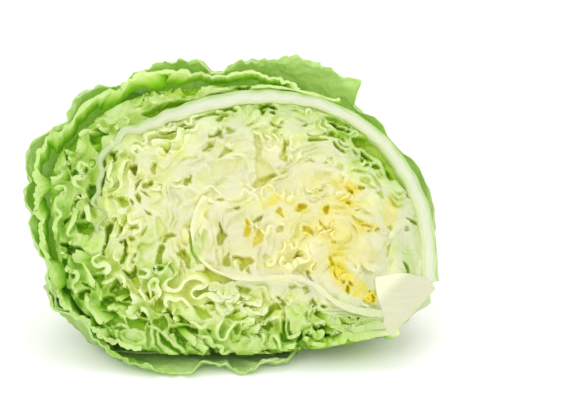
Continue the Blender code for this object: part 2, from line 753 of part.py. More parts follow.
LEAVES = [Wrapper(*row) for row in WRAPPERS]
OUTERMOST = max(wrapper.layer for wrapper in LEAVES)


def main():
    clear_scene()
    parts = collection("iceberg_lettuce_half")
    edges = leaf_edges()
    green = finish("leaf_green", LEAF_GREEN, 0.5)
    made = [
        (stem("stem_core"), finish("stem_cream", STEM_CREAM, 0.45)),
        (heart_leaves(edges), finish("heart_yellow", HEART_YELLOW, 0.5)),
        (inner_leaves(edges), finish("inner_green", INNER_GREEN, 0.5)),
        (band_leaf(), finish("rib_white", RIB_WHITE, 0.42)),
        (outer_leaves(edges), green),
    ]
    for wrapper in LEAVES:
        made.append((wrapper_leaf(wrapper), green))
    for item, material in made:
        for home in list(item.users_collection):
            home.objects.unlink(item)
        parts.objects.link(item)
        item.data.materials.clear()
        item.data.materials.append(material)
        item.data.shade_smooth()
        item.data.set_sharp_from_angle(angle=math.radians(40))


main()
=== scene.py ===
"""Looks of half an iceberg lettuce, cut lengthwise through its stem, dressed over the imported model.

The cut face has its own frame in millimetres: u to the right, v up the face and w behind it. The
leaves' cut edges are curves in that face. They fold until they have used up their room, and each
curve then runs back as a thin, leaning sheet. The loose leaves lie over the dome behind the face.
"""

import logging
import math
from dataclasses import dataclass, field
from enum import Enum

import bmesh
import bpy
import numpy as np
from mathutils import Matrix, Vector
from mathutils.kdtree import KDTree


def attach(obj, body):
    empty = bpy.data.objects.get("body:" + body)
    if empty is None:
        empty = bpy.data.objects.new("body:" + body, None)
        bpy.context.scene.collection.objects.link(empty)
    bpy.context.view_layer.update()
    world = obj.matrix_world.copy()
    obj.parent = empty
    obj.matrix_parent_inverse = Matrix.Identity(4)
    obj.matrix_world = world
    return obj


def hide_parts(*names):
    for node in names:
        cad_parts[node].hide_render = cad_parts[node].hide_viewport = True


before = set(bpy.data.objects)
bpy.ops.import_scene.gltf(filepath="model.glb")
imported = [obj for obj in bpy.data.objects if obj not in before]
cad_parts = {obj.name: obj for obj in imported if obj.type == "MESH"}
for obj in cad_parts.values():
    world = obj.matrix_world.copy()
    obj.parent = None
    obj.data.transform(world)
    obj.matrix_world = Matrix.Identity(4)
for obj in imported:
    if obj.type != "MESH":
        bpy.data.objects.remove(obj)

LOG = logging.getLogger("lettuce")

Array = np.ndarray
Pair = tuple[float, float]
Rgb = tuple[float, float, float]
Stops = tuple[tuple[float, Rgb], ...]
Socket = bpy.types.NodeSocket
Value = Socket | float | Rgb

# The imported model's own dimensions, in millimetres and degrees
LEAN = 30.0
LEAN_COS = math.cos(math.radians(LEAN))
LEAN_SIN = math.sin(math.radians(LEAN))
DOME_DEPTH = 61.0
INNER_DEPTH = 50.0
HEART_DEPTH = 30.0
FACE_TO_FLOOR = 59.4
FACE_TO_SIDE = -0.506
FACE_TO_BACK = -17.651
GAP = 0.45
WRAPPER_BLADE = 1.2
NODE_STEP = 1.0
STEM_DIRECTION = -26.0
STEM_TURN = 18.0
STEM_DEPTH = 15.0
SEED = 5
DOME_GAP = 1.5
TIP_ROUND = 16.0
FLOOR_LEVELS = (2, 1, 0)
PACK_LOWEST = 3 * (WRAPPER_BLADE + GAP) + 0.3

# Metres in a millimetre, the angle of a sharp edge, and steps and depths of the finer pieces in millimetres
MM = 0.001
SHARP_EDGE = 50.0
FINE_STEP = 0.6
SHEET_DEPTH = 8.2
WEB_FLOOR = 10.3

# Outlines, rooms and leaf edges of the cut face, in millimetres from the head's centre
OUTLINE = [
    (90, -31), (91, -12), (89, 4), (84, 20), (75, 31), (62, 43), (46, 54), (29, 60), (10, 61.5),
    (-14, 61), (-36, 59), (-53, 52), (-66, 44), (-75, 35), (-81, 25), (-83, 10), (-81, -8), (-77, -26),
    (-71, -38), (-62, -47), (-52, -55), (-34, -61), (-12, -62), (13, -61.5), (36, -59), (55, -56),
    (70, -52), (85, -38),
]
BAND = [
    (88, -28), (87, -10), (84, 6), (76, 22), (64, 36), (48, 47), (30, 53), (8, 54), (-14, 50),
    (-36, 42), (-50, 36), (-57, 26), (-59, 8), (-57, -6),
]
BAND_HALF = (3.4, 3.3, 3.0, 2.7, 2.6, 2.5, 2.6, 3.0, 3.2, 3.0, 2.2, 1.3, 0.9, 0.7)
INNER_ROOM = [
    (86, -24), (83, -8), (80, 6), (72, 20), (61, 32), (46, 43), (29, 49), (8, 50), (-14, 46),
    (-34, 38), (-47, 31), (-54, 20), (-56, 6), (-54, -10), (-47, -24), (-35, -38), (-14, -49),
    (8, -53), (30, -54), (52, -53), (68, -51), (80, -44),
]
HEART_ROOM = [
    (72, -24), (70, -8), (62, 5), (50, 13), (32, 17), (14, 14), (2, 4), (0, -10), (10, -20), (26, -22),
    (38, -26), (44, -33), (52, -38), (66, -40),
]
STEM_CORE = [
    (63, -26), (64, -34), (66, -40), (67, -47), (70, -52), (80, -42), (90, -31), (86, -26), (75, -24),
]
RIB_ROOM = [(60, -26), (93, -26), (93, 2), (84, 8), (74, 2), (66, -10)]
UPPER_LEAVES = [
    [(84, -25), (82, -8), (77, 8), (67, 23), (53, 34), (35, 42), (12, 46), (-11, 42), (-31, 35),
     (-45, 24), (-50, 8), (-46, -8)],
    [(80, -24), (77, -6), (70, 10), (56, 23), (36, 32), (14, 37), (-8, 33), (-26, 25), (-36, 11),
     (-37, -3)],
    [(76, -23), (73, -4), (64, 10), (48, 19), (28, 24), (8, 22), (-8, 14), (-12, 0)],
    [(72, -23), (67, -6), (54, 6), (36, 12), (18, 9), (7, 0), (6, -12)],
    [(68, -24), (60, -10), (48, -3), (35, -2), (24, -8)],
]
LOWER_LEAVES = [
    [(64, -34), (54, -33), (47, -28), (42, -20), (40, -12)],
    [(65, -42), (57, -42), (50, -40), (44, -36), (39, -31), (32, -27), (22, -26), (8, -27), (-5, -24),
     (-13, -18), (-17, -8), (-16, 2), (-12, 10)],
    [(66, -45), (55, -47), (41, -45), (26, -40), (8, -38), (-9, -35), (-22, -27), (-30, -14), (-31, 0),
     (-26, 12)],
    [(68, -48), (52, -52), (30, -52), (8, -49), (-14, -45), (-31, -37), (-42, -24), (-46, -10)],
    [(69, -50), (52, -56), (30, -58), (8, -58), (-14, -56), (-36, -49), (-53, -38), (-62, -23),
     (-66, -5)],
]
OUTER_LEAF = [
    (48, 53), (30, 59), (10, 60), (-12, 58), (-36, 53), (-53, 46), (-65, 37), (-74, 24), (-77, 8),
    (-76, -12), (-71, -30), (-60, -42), (-46, -54),
]
SPARE_LEAVES = [
    [(80, 8), (72, 22), (58, 34), (44, 42), (24, 47), (4, 49), (-16, 45), (-36, 37), (-49, 28),
     (-54, 14), (-53, 0)],
    [(-14, 38), (-29, 30), (-40, 19), (-44, 5), (-42, -12)],
    [(46, -41), (34, -36), (20, -33), (6, -33), (-10, -29), (-20, -20), (-24, -6), (-23, 6), (-16, 16)],
]
LEFT_LEAF = [
    (-62, 32), (-67, 22), (-70, 8), (-70, -10), (-64, -28), (-50, -44), (-30, -54), (-8, -60),
]

# Parts of the cut face, measured in steps of PACE from the head's centre. A hollow between leaves is its
# depth in millimetres, then its outline as u, v, u, v and so on. A patch is u, v, half its width, half its
# height, its strength and its turn in degrees.
PACE = 0.44
HOLLOWS = [
    (3.5, -37, 101.5, -26, 105, -11, 108.5, 5, 111.5, 5, 108.5, -9, 106.5, -25, 103, -34, 99.5),
    (4, -17, 98, -13, 102, -8, 104.5, -9, 100, -12, 97),
    (3, -7, 104, -3, 103.5, -6, 101, -8, 101.5),
    (6, 28, 114, 39, 115, 46, 112.5, 37, 110, 30, 106),
    (6, 37, 106.5, 42, 108, 42.5, 105, 39, 105),
    (4.5, -23, 85, -18, 85, -12, 90, -9, 87, -7, 81.5, -15, 82.5, -23, 81.5),
    (3.5, -5, 91, 0, 91, 6, 88, -1, 85.5, -5, 87),
    (4, -28, 65, -24, 76, -16, 77.5, -20, 71, -25, 67),
    (3.5, -14, 61, -4, 72, 2, 68.5, -5, 65.5, -13, 60.5),
    (1.5, -23, 57, -5, 57, 14, 61, 15, 50, 4, 45, -19, 42, -21, 50),
    (2.5, 23, 87, 28, 85, 31, 73, 28, 68, 32, 60, 40, 52, 47, 44, 35, 37, 27, 40, 26, 53, 24, 68),
    (4.5, 22, 34, 26, 39, 34, 41.5, 42, 45.5, 47, 44, 39, 38, 31, 33, 24, 31),
    (4, 53, 78, 58, 78, 55, 68, 54, 58, 49, 58, 51, 68),
    (3, 48, 85.5, 53, 82.5, 59, 82.5, 54, 81),
    (3.5, 39, 97, 45, 95, 51, 93, 45, 92, 41, 94),
    (3.5, 71, 92, 77, 96, 75, 91.5),
    (2.5, 50, 46, 53, 50, 57, 49.5, 54, 46),
    (4.5, -48, 33.5, -44, 39.5, -39, 41, -41, 36.5, -45, 34),
    (2.5, -15, 17, -11, 20, -6, 18.5, -11, 16.5),
    (6.5, -11, -5, -9, -11, -3, -16, -7, -20, -8, -25, -12, -27, -13, -20, -11.5, -12),
    (5.5, 21, -3.5, 27, 1, 32, 3, 30, -2.5, 24, -3.5),
    (3, 1, 11.5, 9, 11.5, 7, 8.5),
    (5.5, 64, 9, 67, 14, 77, 12, 76, 8.5, 68, 8),
    (3.5, 44, 4, 50, 10, 54, 0.5, 49, 3.5),
    (3.5, 44, -14, 48, -8, 53, -8, 52.5, -13.5),
    (4.5, 71, -12, 72.5, -7, 77, -8, 82, -13, 84, -19, 79, -14),
    (2.5, 22, -30, 25, -19, 29, -11, 33.5, -17, 29, -23),
    (2.5, 13, -18.5, 16, -1, 19, -10, 19.5, -18.5),
    (5.5, 2, -41, 4, -37, 12, -40, 20, -38.5, 23, -42, 16, -48, 11, -53, 6, -46),
    (4.5, -8, -44.5, -3, -35, -0.5, -44, -2, -47.5),
    (6, -35, -52, -28, -53, -25, -47, -18, -51, -7, -58, 5, -63, -6, -64, -19, -62.5, -28, -62, -34, -58),
    (5, -53, -34, -49, -32, -45, -33.5, -39, -49, -44, -49, -50, -41),
    (4, -41, -14, -37.5, -14, -36.5, -21, -38, -28, -33, -38, -28, -46.5, -33, -46, -38, -38, -41, -28),
    (1.5, -30, -14, -26, -11.5, -23, -22, -21, -31, -27, -32),
    (6.5, 63, -39.5, 68, -33, 74, -34.5, 71, -38.5),
    (2, 31, -40.5, 36, -37, 42, -40, 34, -41.5),
    (3, 16, -53, 18, -50, 21, -55),
    (5.5, 91.5, 9, 94, 13, 98.5, 12.5, 99, 8, 96, 3.5, 92.5, 5.5),
    (3, 78, 19, 83, 18, 89, 19, 83, 16.5),
    (3, 83, 29, 89, 30, 92, 28, 87, 28),
    (3.5, 115, 27, 122, 26.5, 125, 22.5, 120, 25),
    (3, 113.5, 14.5, 118, 12.5, 121.5, 16.5, 118, 16),
    (3, 124, 9.5, 129, 8.5, 127, 7),
    (4, 127, 34, 133, 33.5, 131, 29, 128, 30),
    (3, 145, 24.5, 150, 27, 152, 22, 148, 21),
    (3.5, 131, -7, 139, -6, 144, -8, 137, -9),
    (3, 135, -13, 141, -11.5, 138, -15),
    (3, 143, -14.5, 147, -10, 150.5, -13, 146, -15.5),
    (2.5, 157, -7, 160.5, -7, 161, -11.5, 158.5, -12),
    (3, 89, -2, 91.5, -4, 94, -14, 91, -10),
    (3, 99, -22, 105, -21.5, 104.5, -24.5, 100.5, -25),
    (3, 99, -40, 102, -42, 102, -48, 99.5, -46),
    (3.5, 102, -44, 104, -52, 107, -62, 104, -58),
    (4.5, 110, -62, 113, -61.5, 113.5, -66, 111, -66),
    (5, 114, -74, 115.5, -69.5, 117.5, -70, 117, -75.5),
    (4, 118.5, -63, 122, -67, 120.5, -69, 118.5, -66),
    (3.5, 131, -83, 135, -81, 137, -83.5),
    (4, 139, -77, 142, -79, 143.5, -83, 140.5, -84),
    (4, 74, -52, 77, -51, 83, -63, 79, -60),
    (3, 92, 105, 99, 101.5, 109, 98.5, 119, 93, 117, 92, 107, 96, 98, 98.5),
    (5, 100, 95.5, 107, 93.5, 114, 90, 120, 88, 116, 87, 107, 91, 101, 93),
    (5.5, 76, 79, 78, 81.5, 85, 81.5, 97, 80, 89, 78, 80, 78),
    (3.5, 77, 85, 89, 84, 87, 83, 78, 83.5),
    (4, 96, 83, 101, 87.5, 107, 84, 114, 80, 115, 76.5, 109, 79.5, 102, 82),
    (3, 89, 85, 97, 87, 94, 84),
    (5.5, 102.5, 77.5, 106, 76, 110, 71, 117, 69, 114, 66.5, 109, 67.5, 105, 73),
    (4, 107, 78, 113, 74.5, 119, 71.5, 115, 72, 109, 75.5),
    (3, 121, 81, 131, 82.5, 144, 79.5, 155, 71, 165, 60, 173, 50, 182, 38, 187, 28, 190, 16, 189.5, 6, 185,
     14, 177, 26, 171, 33, 164, 39, 156, 46, 150, 55, 142, 64, 134, 67.5, 125, 72),
    (3.5, 120, 81, 131, 81.5, 135, 78, 133, 71, 126, 73, 121, 77),
    (3, 121, 69, 127, 64.5, 124, 64),
    (5, 130, 66.5, 136, 63, 142, 57.5, 137, 59, 131, 63.5),
    (4, 129, 61, 133, 58, 131, 56, 128, 59),
    (4, 139, 51, 145, 53, 150, 50, 145, 49),
    (3, 133, 53, 137, 56, 140, 54),
    (6, 153, 48, 157, 46, 164, 38, 159, 38.5, 155, 44),
    (2, 101, 49.5, 110, 54.5, 114, 49, 108, 48),
    (2, 74, 57, 80, 59.5, 84, 55.5),
    (2, 92, 55, 97, 58, 99, 55.5),
    (2, 98, 62, 103, 61.5, 100, 59),
    (6, 189, -3, 191.5, -8, 193, -16, 192, -23, 190, -14),
    (5, 177, 0.5, 182, -2, 186, -7, 180, -3.5),
    (4.5, 174, 24.5, 180, 20.5, 177, 20),
    (4.5, 171, 33, 177, 30.5, 173, 30),
    (4.5, 172, -43, 177, -48, 180, -55.5, 177.5, -55, 174.5, -49),
    (2, 172, -11, 176, -7.5, 178, -12, 175, -14),
    (8, -101.5, 53, -98, 51, -94.5, 53.5, -93.5, 49, -96.5, 43.5, -101, 49.5),
    (4, -79.5, 56.5, -75.5, 55, -76, 44.5, -79, 43.5, -81, 48),
    (5.5, -71, 69, -68, 73, -62, 77.5, -64, 70, -68.5, 62.5, -72, 62.5, -72, 68),
    (2.5, -68, 94, -63, 99, -55, 101, -41, 105, -41, 104, -53, 99.5, -62, 97.5, -66, 93.5),
    (3, -76, 87, -68, 87, -59, 90, -51, 93.5, -42, 95.5, -50, 91, -61, 87, -71, 84),
    (3.5, -50, 88, -44, 92, -39, 94, -43, 89),
    (5.5, -125, 49, -126.5, 45, -128, 38, -130, 28, -130.5, 22, -131, 32, -130, 40, -128, 46),
    (5, -116.5, 19.5, -110, 21, -105, 21.5, -103.5, 12.5, -106.5, 10.5, -111.5, 12, -114.5, 15.5),
    (4.5, -101, 20, -97.5, 15, -98.5, 13, -101, 16.5),
    (5.5, -96, 22, -93, 23.5, -90.5, 20, -92, 16.5, -95, 19),
    (4.5, -95, 27.5, -95.5, 33, -93, 37, -87, 39.5, -90, 36, -93, 32),
    (4, -88.5, 32.5, -86, 36, -79.5, 36, -78.5, 33.5, -83, 30.5, -87, 29.5),
    (2.5, -73, 35, -69, 35.5, -70, 31, -72.5, 31),
    (4, -90.5, 26.5, -87, 24.5, -81.5, 20.5, -85.5, 22),
    (4.5, -85.5, 7.5, -82, 6, -80.5, 2.5, -83.5, 3),
    (8, -121, -1, -115, -1, -118, -5.5, -121.5, -14, -124.5, -25, -126.5, -36.5, -128, -36.5, -128, -30,
     -126, -20, -123.5, -10),
    (4.5, -110.5, 3, -107, 4.5, -104.5, 4, -104.5, -3, -108.5, -11, -111, -16.5, -112.5, -15, -110, -9,
     -108, -1),
    (3.5, -115, -18.5, -112.5, -15.5, -112, -17.5),
    (4.5, -102.5, -20, -98.5, -17.5, -96.5, -22, -100, -23.5),
    (3, -101.5, -10, -101, -7, -93, -8, -91.5, -11, -96, -9.5),
    (6.5, -111, -24, -106, -22, -104, -27, -103.5, -36, -105.5, -44.5, -109, -45.5, -110.5, -40, -107, -35,
     -105.5, -29),
    (3.5, -99, -44, -97.5, -36, -95.5, -32, -94.5, -36, -96.5, -45),
    (2.5, -90, -16, -85, -8, -86.5, -13.5, -88.5, -17.5),
    (6, -75, -45.5, -74, -34, -70, -25.5, -67.5, -28, -68, -38, -69, -45),
    (4.5, -69, -25, -65, -19, -59, -14.5, -54.5, -17, -62, -20.5, -67, -24.5),
    (2, -76, 2, -70, 1, -67, -8, -63, -14, -68, -21, -71, -24, -73.5, -14),
    (4.5, -76, -51, -71, -47.5, -65.5, -51, -71, -52.5),
    (9, -143, 34, -140, 35.5, -136, 33, -134.5, 27, -136.5, 19, -139.5, 11.5, -142.5, 15, -140, 19, -144,
     24, -144.5, 29),
    (8, -149, 1, -150, 5, -147, 9.5, -144.5, 7, -146.5, 2),
    (6.5, -156, -6, -148, -4.5, -142, -5, -139, -8.5, -135.5, -8, -138, -13, -145, -16, -153, -14.5),
    (6, -168, -2, -165, -0.5, -160.5, 1.5, -164.5, -2.5, -166.5, -5),
    (4, -161, 6.5, -162, 9, -157, 15, -154, 23, -152.5, 18, -156.5, 10),
    (7, -171, -24, -165, -26, -157, -28, -148, -32, -157, -35.5, -161.5, -35, -163, -43, -166, -50.5, -169,
     -44, -165, -36, -164.5, -31, -169, -28),
    (5.5, -165, -51.5, -163, -54, -163, -61.5, -165.5, -56),
    (4, -160, -53.5, -156.5, -56.5, -157, -60.5, -159, -58),
    (7, -143, 86, -135, 90.5, -123, 87, -130, 82, -132, 77, -133, 67.5, -137, 69.5, -140, 80),
    (4, -133, 67, -130, 63, -126.5, 58, -127, 52, -130.5, 48.5, -130, 58),
    (8, -121, 67, -116, 65, -111.5, 67, -116.5, 60, -120, 56),
    (4.5, -141, 58, -136, 58.5, -134.5, 55, -138.5, 51.5, -141, 53),
    (5, -166, 67, -164, 66, -163, 58, -160.5, 49.5, -163.5, 52, -165, 58),
    (5, -160, 46.5, -155.5, 49.5, -154.5, 46, -157, 42.5, -159.5, 43.5),
    (4, -148, 47.5, -145, 52.5, -143.5, 50, -147, 44.5, -151, 40.5, -149, 45),
    (5, -171, 47, -166, 48.5, -162, 43, -160.5, 38, -171, 37),
    (5, -169, 87, -161, 90, -154.5, 83, -157, 77, -158, 67, -166, 72, -171, 80),
    (4, -157, 99, -147, 104, -139, 100, -147, 92, -154, 89),
    (8, -91, 104, -81, 110, -71, 114.5, -61, 117.5, -51, 118.5, -41, 117, -31, 120.5, -19, 124.5, -6,
     126.5, 7, 131.5, 19, 132, 19, 130, 7, 127.5, -6, 123.5, -19, 121.5, -31, 117, -41, 113.5, -51, 113,
     -61, 110.5, -71, 107.5, -81, 103.5),
    (6, -50, 132, -45, 138, -39, 139, -32, 132, -37, 126, -42, 125, -49, 128),
    (4, -78, 129.5, -73, 128.5, -67, 126, -73, 126.5),
    (4.5, -61, 128, -57, 134, -51, 139.5, -49.5, 138, -55, 132, -59, 127.5),
    (3, -87, 126, -81, 128, -79, 123, -86, 120),
    (9, -121, -73, -118, -66, -114, -61.5, -111, -66, -102, -69, -102, -75, -99, -81.5, -107, -82.5, -114,
     -81),
    (9, -108, -53, -102, -54, -96, -47, -95.5, -58, -100, -59.5),
    (3.5, -100, -60.5, -95, -58, -89.5, -65, -92.5, -68, -94.5, -72.5, -96, -66),
    (4.5, -86, -80, -84, -74, -77, -73, -76, -78, -79.5, -82.5, -84, -82),
    (4.5, -80.5, -89, -74, -81, -70, -82, -66, -89, -58, -93.5, -63, -96, -71, -94),
    (9, -61, -94.5, -55, -97, -47, -100.5, -40, -106, -49, -104.5, -57, -101.5),
    (9.5, -60, -108, -51, -107.5, -41, -109.5, -33, -112, -34.5, -118.5, -42, -119, -45, -125, -44, -131.5,
     -51, -125, -54, -119, -61, -113),
    (6, -78, -104, -74, -100.5, -68, -99.5, -64, -103, -63.5, -108, -68, -113.5, -72, -109, -77, -107),
    (7, -70, -116, -65, -122, -57, -128, -49, -134, -41, -141, -47, -140, -55, -134, -63, -127, -69, -122),
    (7.5, -95, -95, -91, -92.5, -86, -95.5, -82.5, -99.5, -90, -98),
    (6, -104, -99, -93, -101, -81, -102, -80, -107, -85, -106, -87, -112, -99, -110, -101, -104),
    (5, -122, -94, -114, -93, -111, -99, -103, -105, -113, -104, -119, -109, -125, -104, -124, -98),
    (4, -131, -93, -123, -92.5, -125, -99, -129.5, -101.5, -132, -97),
    (8, -129, -83, -122, -77.5, -115, -81, -120, -85, -125, -90, -130, -89.5),
    (3.5, -118, -82.5, -111, -83, -103, -85, -97, -88.5, -105, -88.5, -115, -86),
    (6.5, -150, -72, -146, -70.5, -140, -73, -143, -77, -147, -81, -152, -79),
    (4.5, -148.5, -64.5, -143, -66.5, -138, -69.5, -133.5, -68.5, -134, -72, -141, -70.5),
    (5, -140, -59, -133, -57, -127, -55, -127, -62, -129, -69.5, -132, -65, -135, -61),
    (6.5, -169, -70, -162, -73, -158, -83, -151, -91, -143, -98, -135, -107, -145, -101, -155, -95, -164,
     -89, -171, -82),
    (4.5, -162, -72, -155, -73, -158, -79),
    (3.5, -84, -108, -80, -110, -80.5, -129, -84, -129.5),
    (3.5, -76, -112, -73, -113, -73, -127, -65, -134, -60, -137, -69, -133, -75, -128),
    (3.5, -119, -110.5, -113, -108, -103, -109, -111, -111.5),
    (4.5, 5, -68, 11, -69, 19.5, -71, 16, -76, 12, -78, 8, -73),
    (4.5, -27, -87, -21, -85, -15, -85, -16, -89, -20, -92, -24, -89),
    (3.5, -38, -88, -33, -87.5, -26, -92, -20, -100, -26, -102, -31, -98, -35, -94),
    (3, -11, -86, -6, -85.5, -4.5, -89, -10, -90.5),
    (5.5, -6, -100.5, 1, -96, 7.5, -90.5, 11, -94, 18, -100, 16, -101.5, 5, -100.5),
    (2.5, 0, -86, 6, -83, 7, -87, 2, -91),
    (4, 9, -83.5, 14, -85, 19, -88, 23.5, -88, 18, -90),
    (4.5, 40, -89, 44, -85.5, 48.5, -85.5, 49, -89.5, 44, -91.5, 39, -97, 33, -102, 37, -95),
    (3.5, 44, -80, 53, -81.5, 57.5, -86, 51, -84.5),
    (3.5, 58, -67, 62, -64.5, 66.5, -70, 62, -71.5),
    (3.5, 72, -70, 75, -68.5, 78.5, -74, 74, -76.5),
    (4.5, 1, -109, 7, -104.5, 8.5, -112, 6, -117, 4, -113),
    (5, 12, -105.5, 15.5, -106, 14.5, -112, 20, -118.5, 10, -118.5),
    (3.5, 25, -113, 28.5, -114, 27.5, -119.5),
    (2, 14, -113, 19, -110.5, 25, -113, 24.5, -117, 19, -116),
    (5, 27, -104, 35, -107.5, 40, -103.5, 41.5, -108, 38, -112.5, 32, -108.5),
    (8, 51, -96.5, 53, -97, 53, -107, 53.5, -116, 56.5, -120, 62, -123, 56, -124.5, 50, -120, 48.5, -115,
     51, -116, 50.5, -107),
    (5, 56.5, -101.5, 59, -105, 59.5, -112, 62, -117, 59.5, -119, 56.5, -113),
    (8.5, 65, -128, 66.5, -123, 69, -113, 71, -119, 75, -126, 79, -131.5, 73, -134, 70, -127),
    (6, -25.5, -108.5, -19, -112.5, -14, -118.5, -20, -115.5),
    (8.5, -23, -126.5, -20, -129, -14.5, -135.5, -18, -136.5, -22, -132),
    (6, -39, -126.5, -34, -129.5, -31, -133, -36, -131.5),
    (7, -31, -139, -22, -137, -13, -134, -9, -137, -5, -143, 1, -150, -7, -149, -14, -143, -19, -140),
    (6, 0, -135, 3, -134, 4.5, -140, 7, -146.5, 3, -144.5, 1, -140),
    (3.5, 31, -131, 39, -130.5, 54, -133, 44, -134.5),
    (5, 40, -135, 48, -136, 44, -138.5),
    (3, -31, -120, -27, -121, -17, -130, -9, -132, -17, -133, -26, -125),
    (7.5, 84, -96, 87, -90.5, 91, -95, 101, -99, 95, -102.5, 90, -99.5),
    (8, 81, -106.5, 85, -109, 89, -108, 95, -108, 98.5, -103.5, 100, -112, 98.5, -117, 96.5, -122.5, 94,
     -117, 94, -111, 89, -110, 86, -115, 83, -112),
    (6, 74, -116, 78, -114, 81, -118, 80.5, -123.5, 77, -119.5),
    (4.5, 78.5, -87, 83, -78.5, 85.5, -88, 82, -87.5),
    (3.5, 89.5, -85.5, 94.5, -89.5, 91, -90.5),
    (6, 102, -118.5, 105, -115.5, 105.5, -120.5, 103, -123),
    (5, 108.5, -118, 112.5, -116.5, 111.5, -120.5),
    (4.5, 114.5, -107, 117.5, -106, 117.5, -109),
    (4.5, 122, -106, 124.5, -105, 124.5, -108),
    (4, 107.5, -100.5, 113, -103.5, 119, -109, 113, -106),
    (3.5, 72.5, -95, 76, -92.5, 75.5, -100.5),
]
SMOOTH = [
    (-5, 56, 52, 40, 1, 0), (-71, 33, 42, 44, 0.9, 20), (3, -18, 52, 40, 1, 0), (69, 13, 40, 42, 1, 0),
    (179, -22, 30, 60, 1, 0), (164, -74, 30, 24, 1, 0), (119, -40, 42, 42, 1, 0),
    (135, 13, 34, 34, 0.95, 0), (54, -67, 95, 20, 1, -8), (-106, 13, 26, 44, 0.75, 0),
    (109, -90, 50, 12, 1, -12), (-105, 86, 40, 16, 0.9, 20), (114, 66, 44, 18, 0.95, -30),
    (154, 53, 42, 16, 1, -45), (-81, -127, 52, 20, 0.95, -32), (19, -127, 26, 16, 0.8, 0),
    (-15, -96, 40, 12, 0.8, 0), (-101, -27, 26, 34, 0.7, 0), (-66, -17, 34, 44, 0.95, 0),
    (69, 53, 50, 24, 0.95, 0), (-146, 68, 16, 20, 0.6, 0), (-136, -22, 22, 16, 0.75, 0),
    (-156, 28, 14, 26, 0.6, 0), (-81, 96, 50, 10, 0.8, 14), (69, -100, 24, 16, 0.8, 0),
    (-31, 132, 72, 11, 0.95, 8), (59, 142, 60, 9, 0.95, -5), (-111, 113, 34, 13, 0.9, 28),
    (-179, 58, 12, 40, 0.8, -12), (-181, -12, 10, 50, 0.8, 8), (-156, -82, 16, 26, 0.6, 35),
    (59, -140, 40, 10, 0.9, 0), (-26, -144, 60, 10, 0.8, 0), (31, 100, 70, 16, 0.9, 0),
    (89, 83, 44, 16, 0.85, -24), (-25, -44, 34, 22, 0.85, 0),
]
PALE = [
    (169, -8, 34, 18, 1.0, 0), (143, -44, 14, 30, 0.9, 0),
    (190, -30, 26, 70, 1, 0), (150, -95, 50, 14, 1, -8), (60, -66, 100, 12, 0.7, -8),
    (0, 56, 52, 34, 0.55, 0), (10, -20, 44, 34, 0.5, 0), (75, 20, 40, 30, 0.4, 0),
    (100, 66, 50, 12, 0.5, 0), (-60, 20, 30, 34, 0.35, 0), (125, -45, 20, 30, 0.5, 30),
]
VIVID = [
    (106, -44, 9, 26, 1, 8), (121, -67, 20, 10, 1, -35), (137, -79, 10, 6, 1, -20), (43, 19, 9, 5, 0.9, 40),
    (116, 31, 16, 6, 0.8, -15), (117, 16, 9, 5, 0.8, -30), (16, -10, 4, 10, 0.9, 0),
    (133, -10, 16, 8, 0.7, 0), (159, 6, 8, 18, 0.6, 0), (95, 9, 6, 7, 0.8, 0), (71, 10, 8, 5, 0.8, 0),
    (77, -12, 8, 6, 0.7, 0), (134, -37, 14, 12, 0.45, 0), (91, -10, 6, 14, 0.6, 10),
    (27, -20, 7, 10, 0.6, 0), (50, 5, 6, 6, 0.5, 0), (109, -14, 20, 40, 0.35, 0),
]
LIME = [
    (-71, -54, 20, 14, 0.9, 0), (-83, -44, 12, 22, 0.6, 0), (-81, -27, 14, 22, 0.4, 0),
    (114, -115, 36, 18, 1, 12), (177, -44, 6, 18, 0.8, 10), (-35, -32, 6, 20, 0.7, -20),
    (39, 112, 26, 8, 0.6, 0), (-1, 106, 26, 6, 0.5, 8), (114, 90, 24, 8, 0.8, -25),
    (153, 60, 46, 16, 1, -45), (131, 60, 18, 10, 0.8, -35), (189, -8, 7, 30, 0.9, 0),
    (-51, 118, 24, 12, 0.6, 10), (19, -72, 60, 8, 0.3, 0), (75, -107, 12, 20, 0.4, 0),
    (-49, 130, 18, 12, 0.8, 0), (69, -97, 12, 16, 0.5, 0), (1, -137, 34, 14, 0.3, 0),
    (54, -140, 24, 8, 0.7, 0),
]

# How far the loose leaves' free edges reach from the head's centre, by angle in degrees
LIP = [
    (-180, 86.4), (-176, 86.4), (-171, 86.1), (-167, 84.5), (-163, 84.6), (-159, 85.6), (-153, 85.6),
    (-149, 81.9), (-145, 77.2), (-140, 75.2), (-137, 76.8), (-132, 78.8), (-128, 77.8), (-124, 75.6),
    (-118, 72.7), (-111, 71.3), (-105, 69.6), (-101, 64.7), (-95, 61.5), (-89, 65.7), (-81, 67),
    (-76, 64.8), (-70, 65.2), (-63, 67.8), (-60, 69), (-57.5, 69), (-52, 72), (-45, 79), (-30, 92),
    (-19, 94), (-13, 92.5), (-5, 91.4), (2, 91.5), (7, 89), (13, 88.4), (19, 90.8), (20.5, 87.4),
    (22, 83.3), (26, 81.2), (30, 75.6), (37, 73.6), (40, 72.3), (43.5, 75.5), (45.6, 81), (47, 86.2),
    (50, 84.8), (54, 83.3), (58, 78.9), (65, 76.8), (73, 72.8), (79, 70.8), (84, 69.6), (88, 68.1),
    (91.5, 66.5), (94, 64.8), (96, 64.1), (98, 64.3), (100, 69), (104, 72.1), (109, 72.9), (114, 78.6),
    (119, 81), (127, 83.1), (130, 79.3), (132.5, 80.6), (136, 84), (140, 87.4), (143, 87.2),
    (146, 85.8), (149, 83.9), (152, 85.8), (155, 90.5), (158, 94.4), (161, 95.9), (164, 95.6),
    (167, 91.6), (169.5, 90.4), (174, 89.8), (176.5, 89.6), (178.5, 86.5),
]


class Group(Enum):
    """Which leaves of the head a curve of the cut face belongs to."""

    OUTSIDE = "outside"
    STEM = "stem"
    BAND = "band"
    HEART = "heart"
    INNER = "inner"
    OUTER = "outer"


# Numbers and plane curves


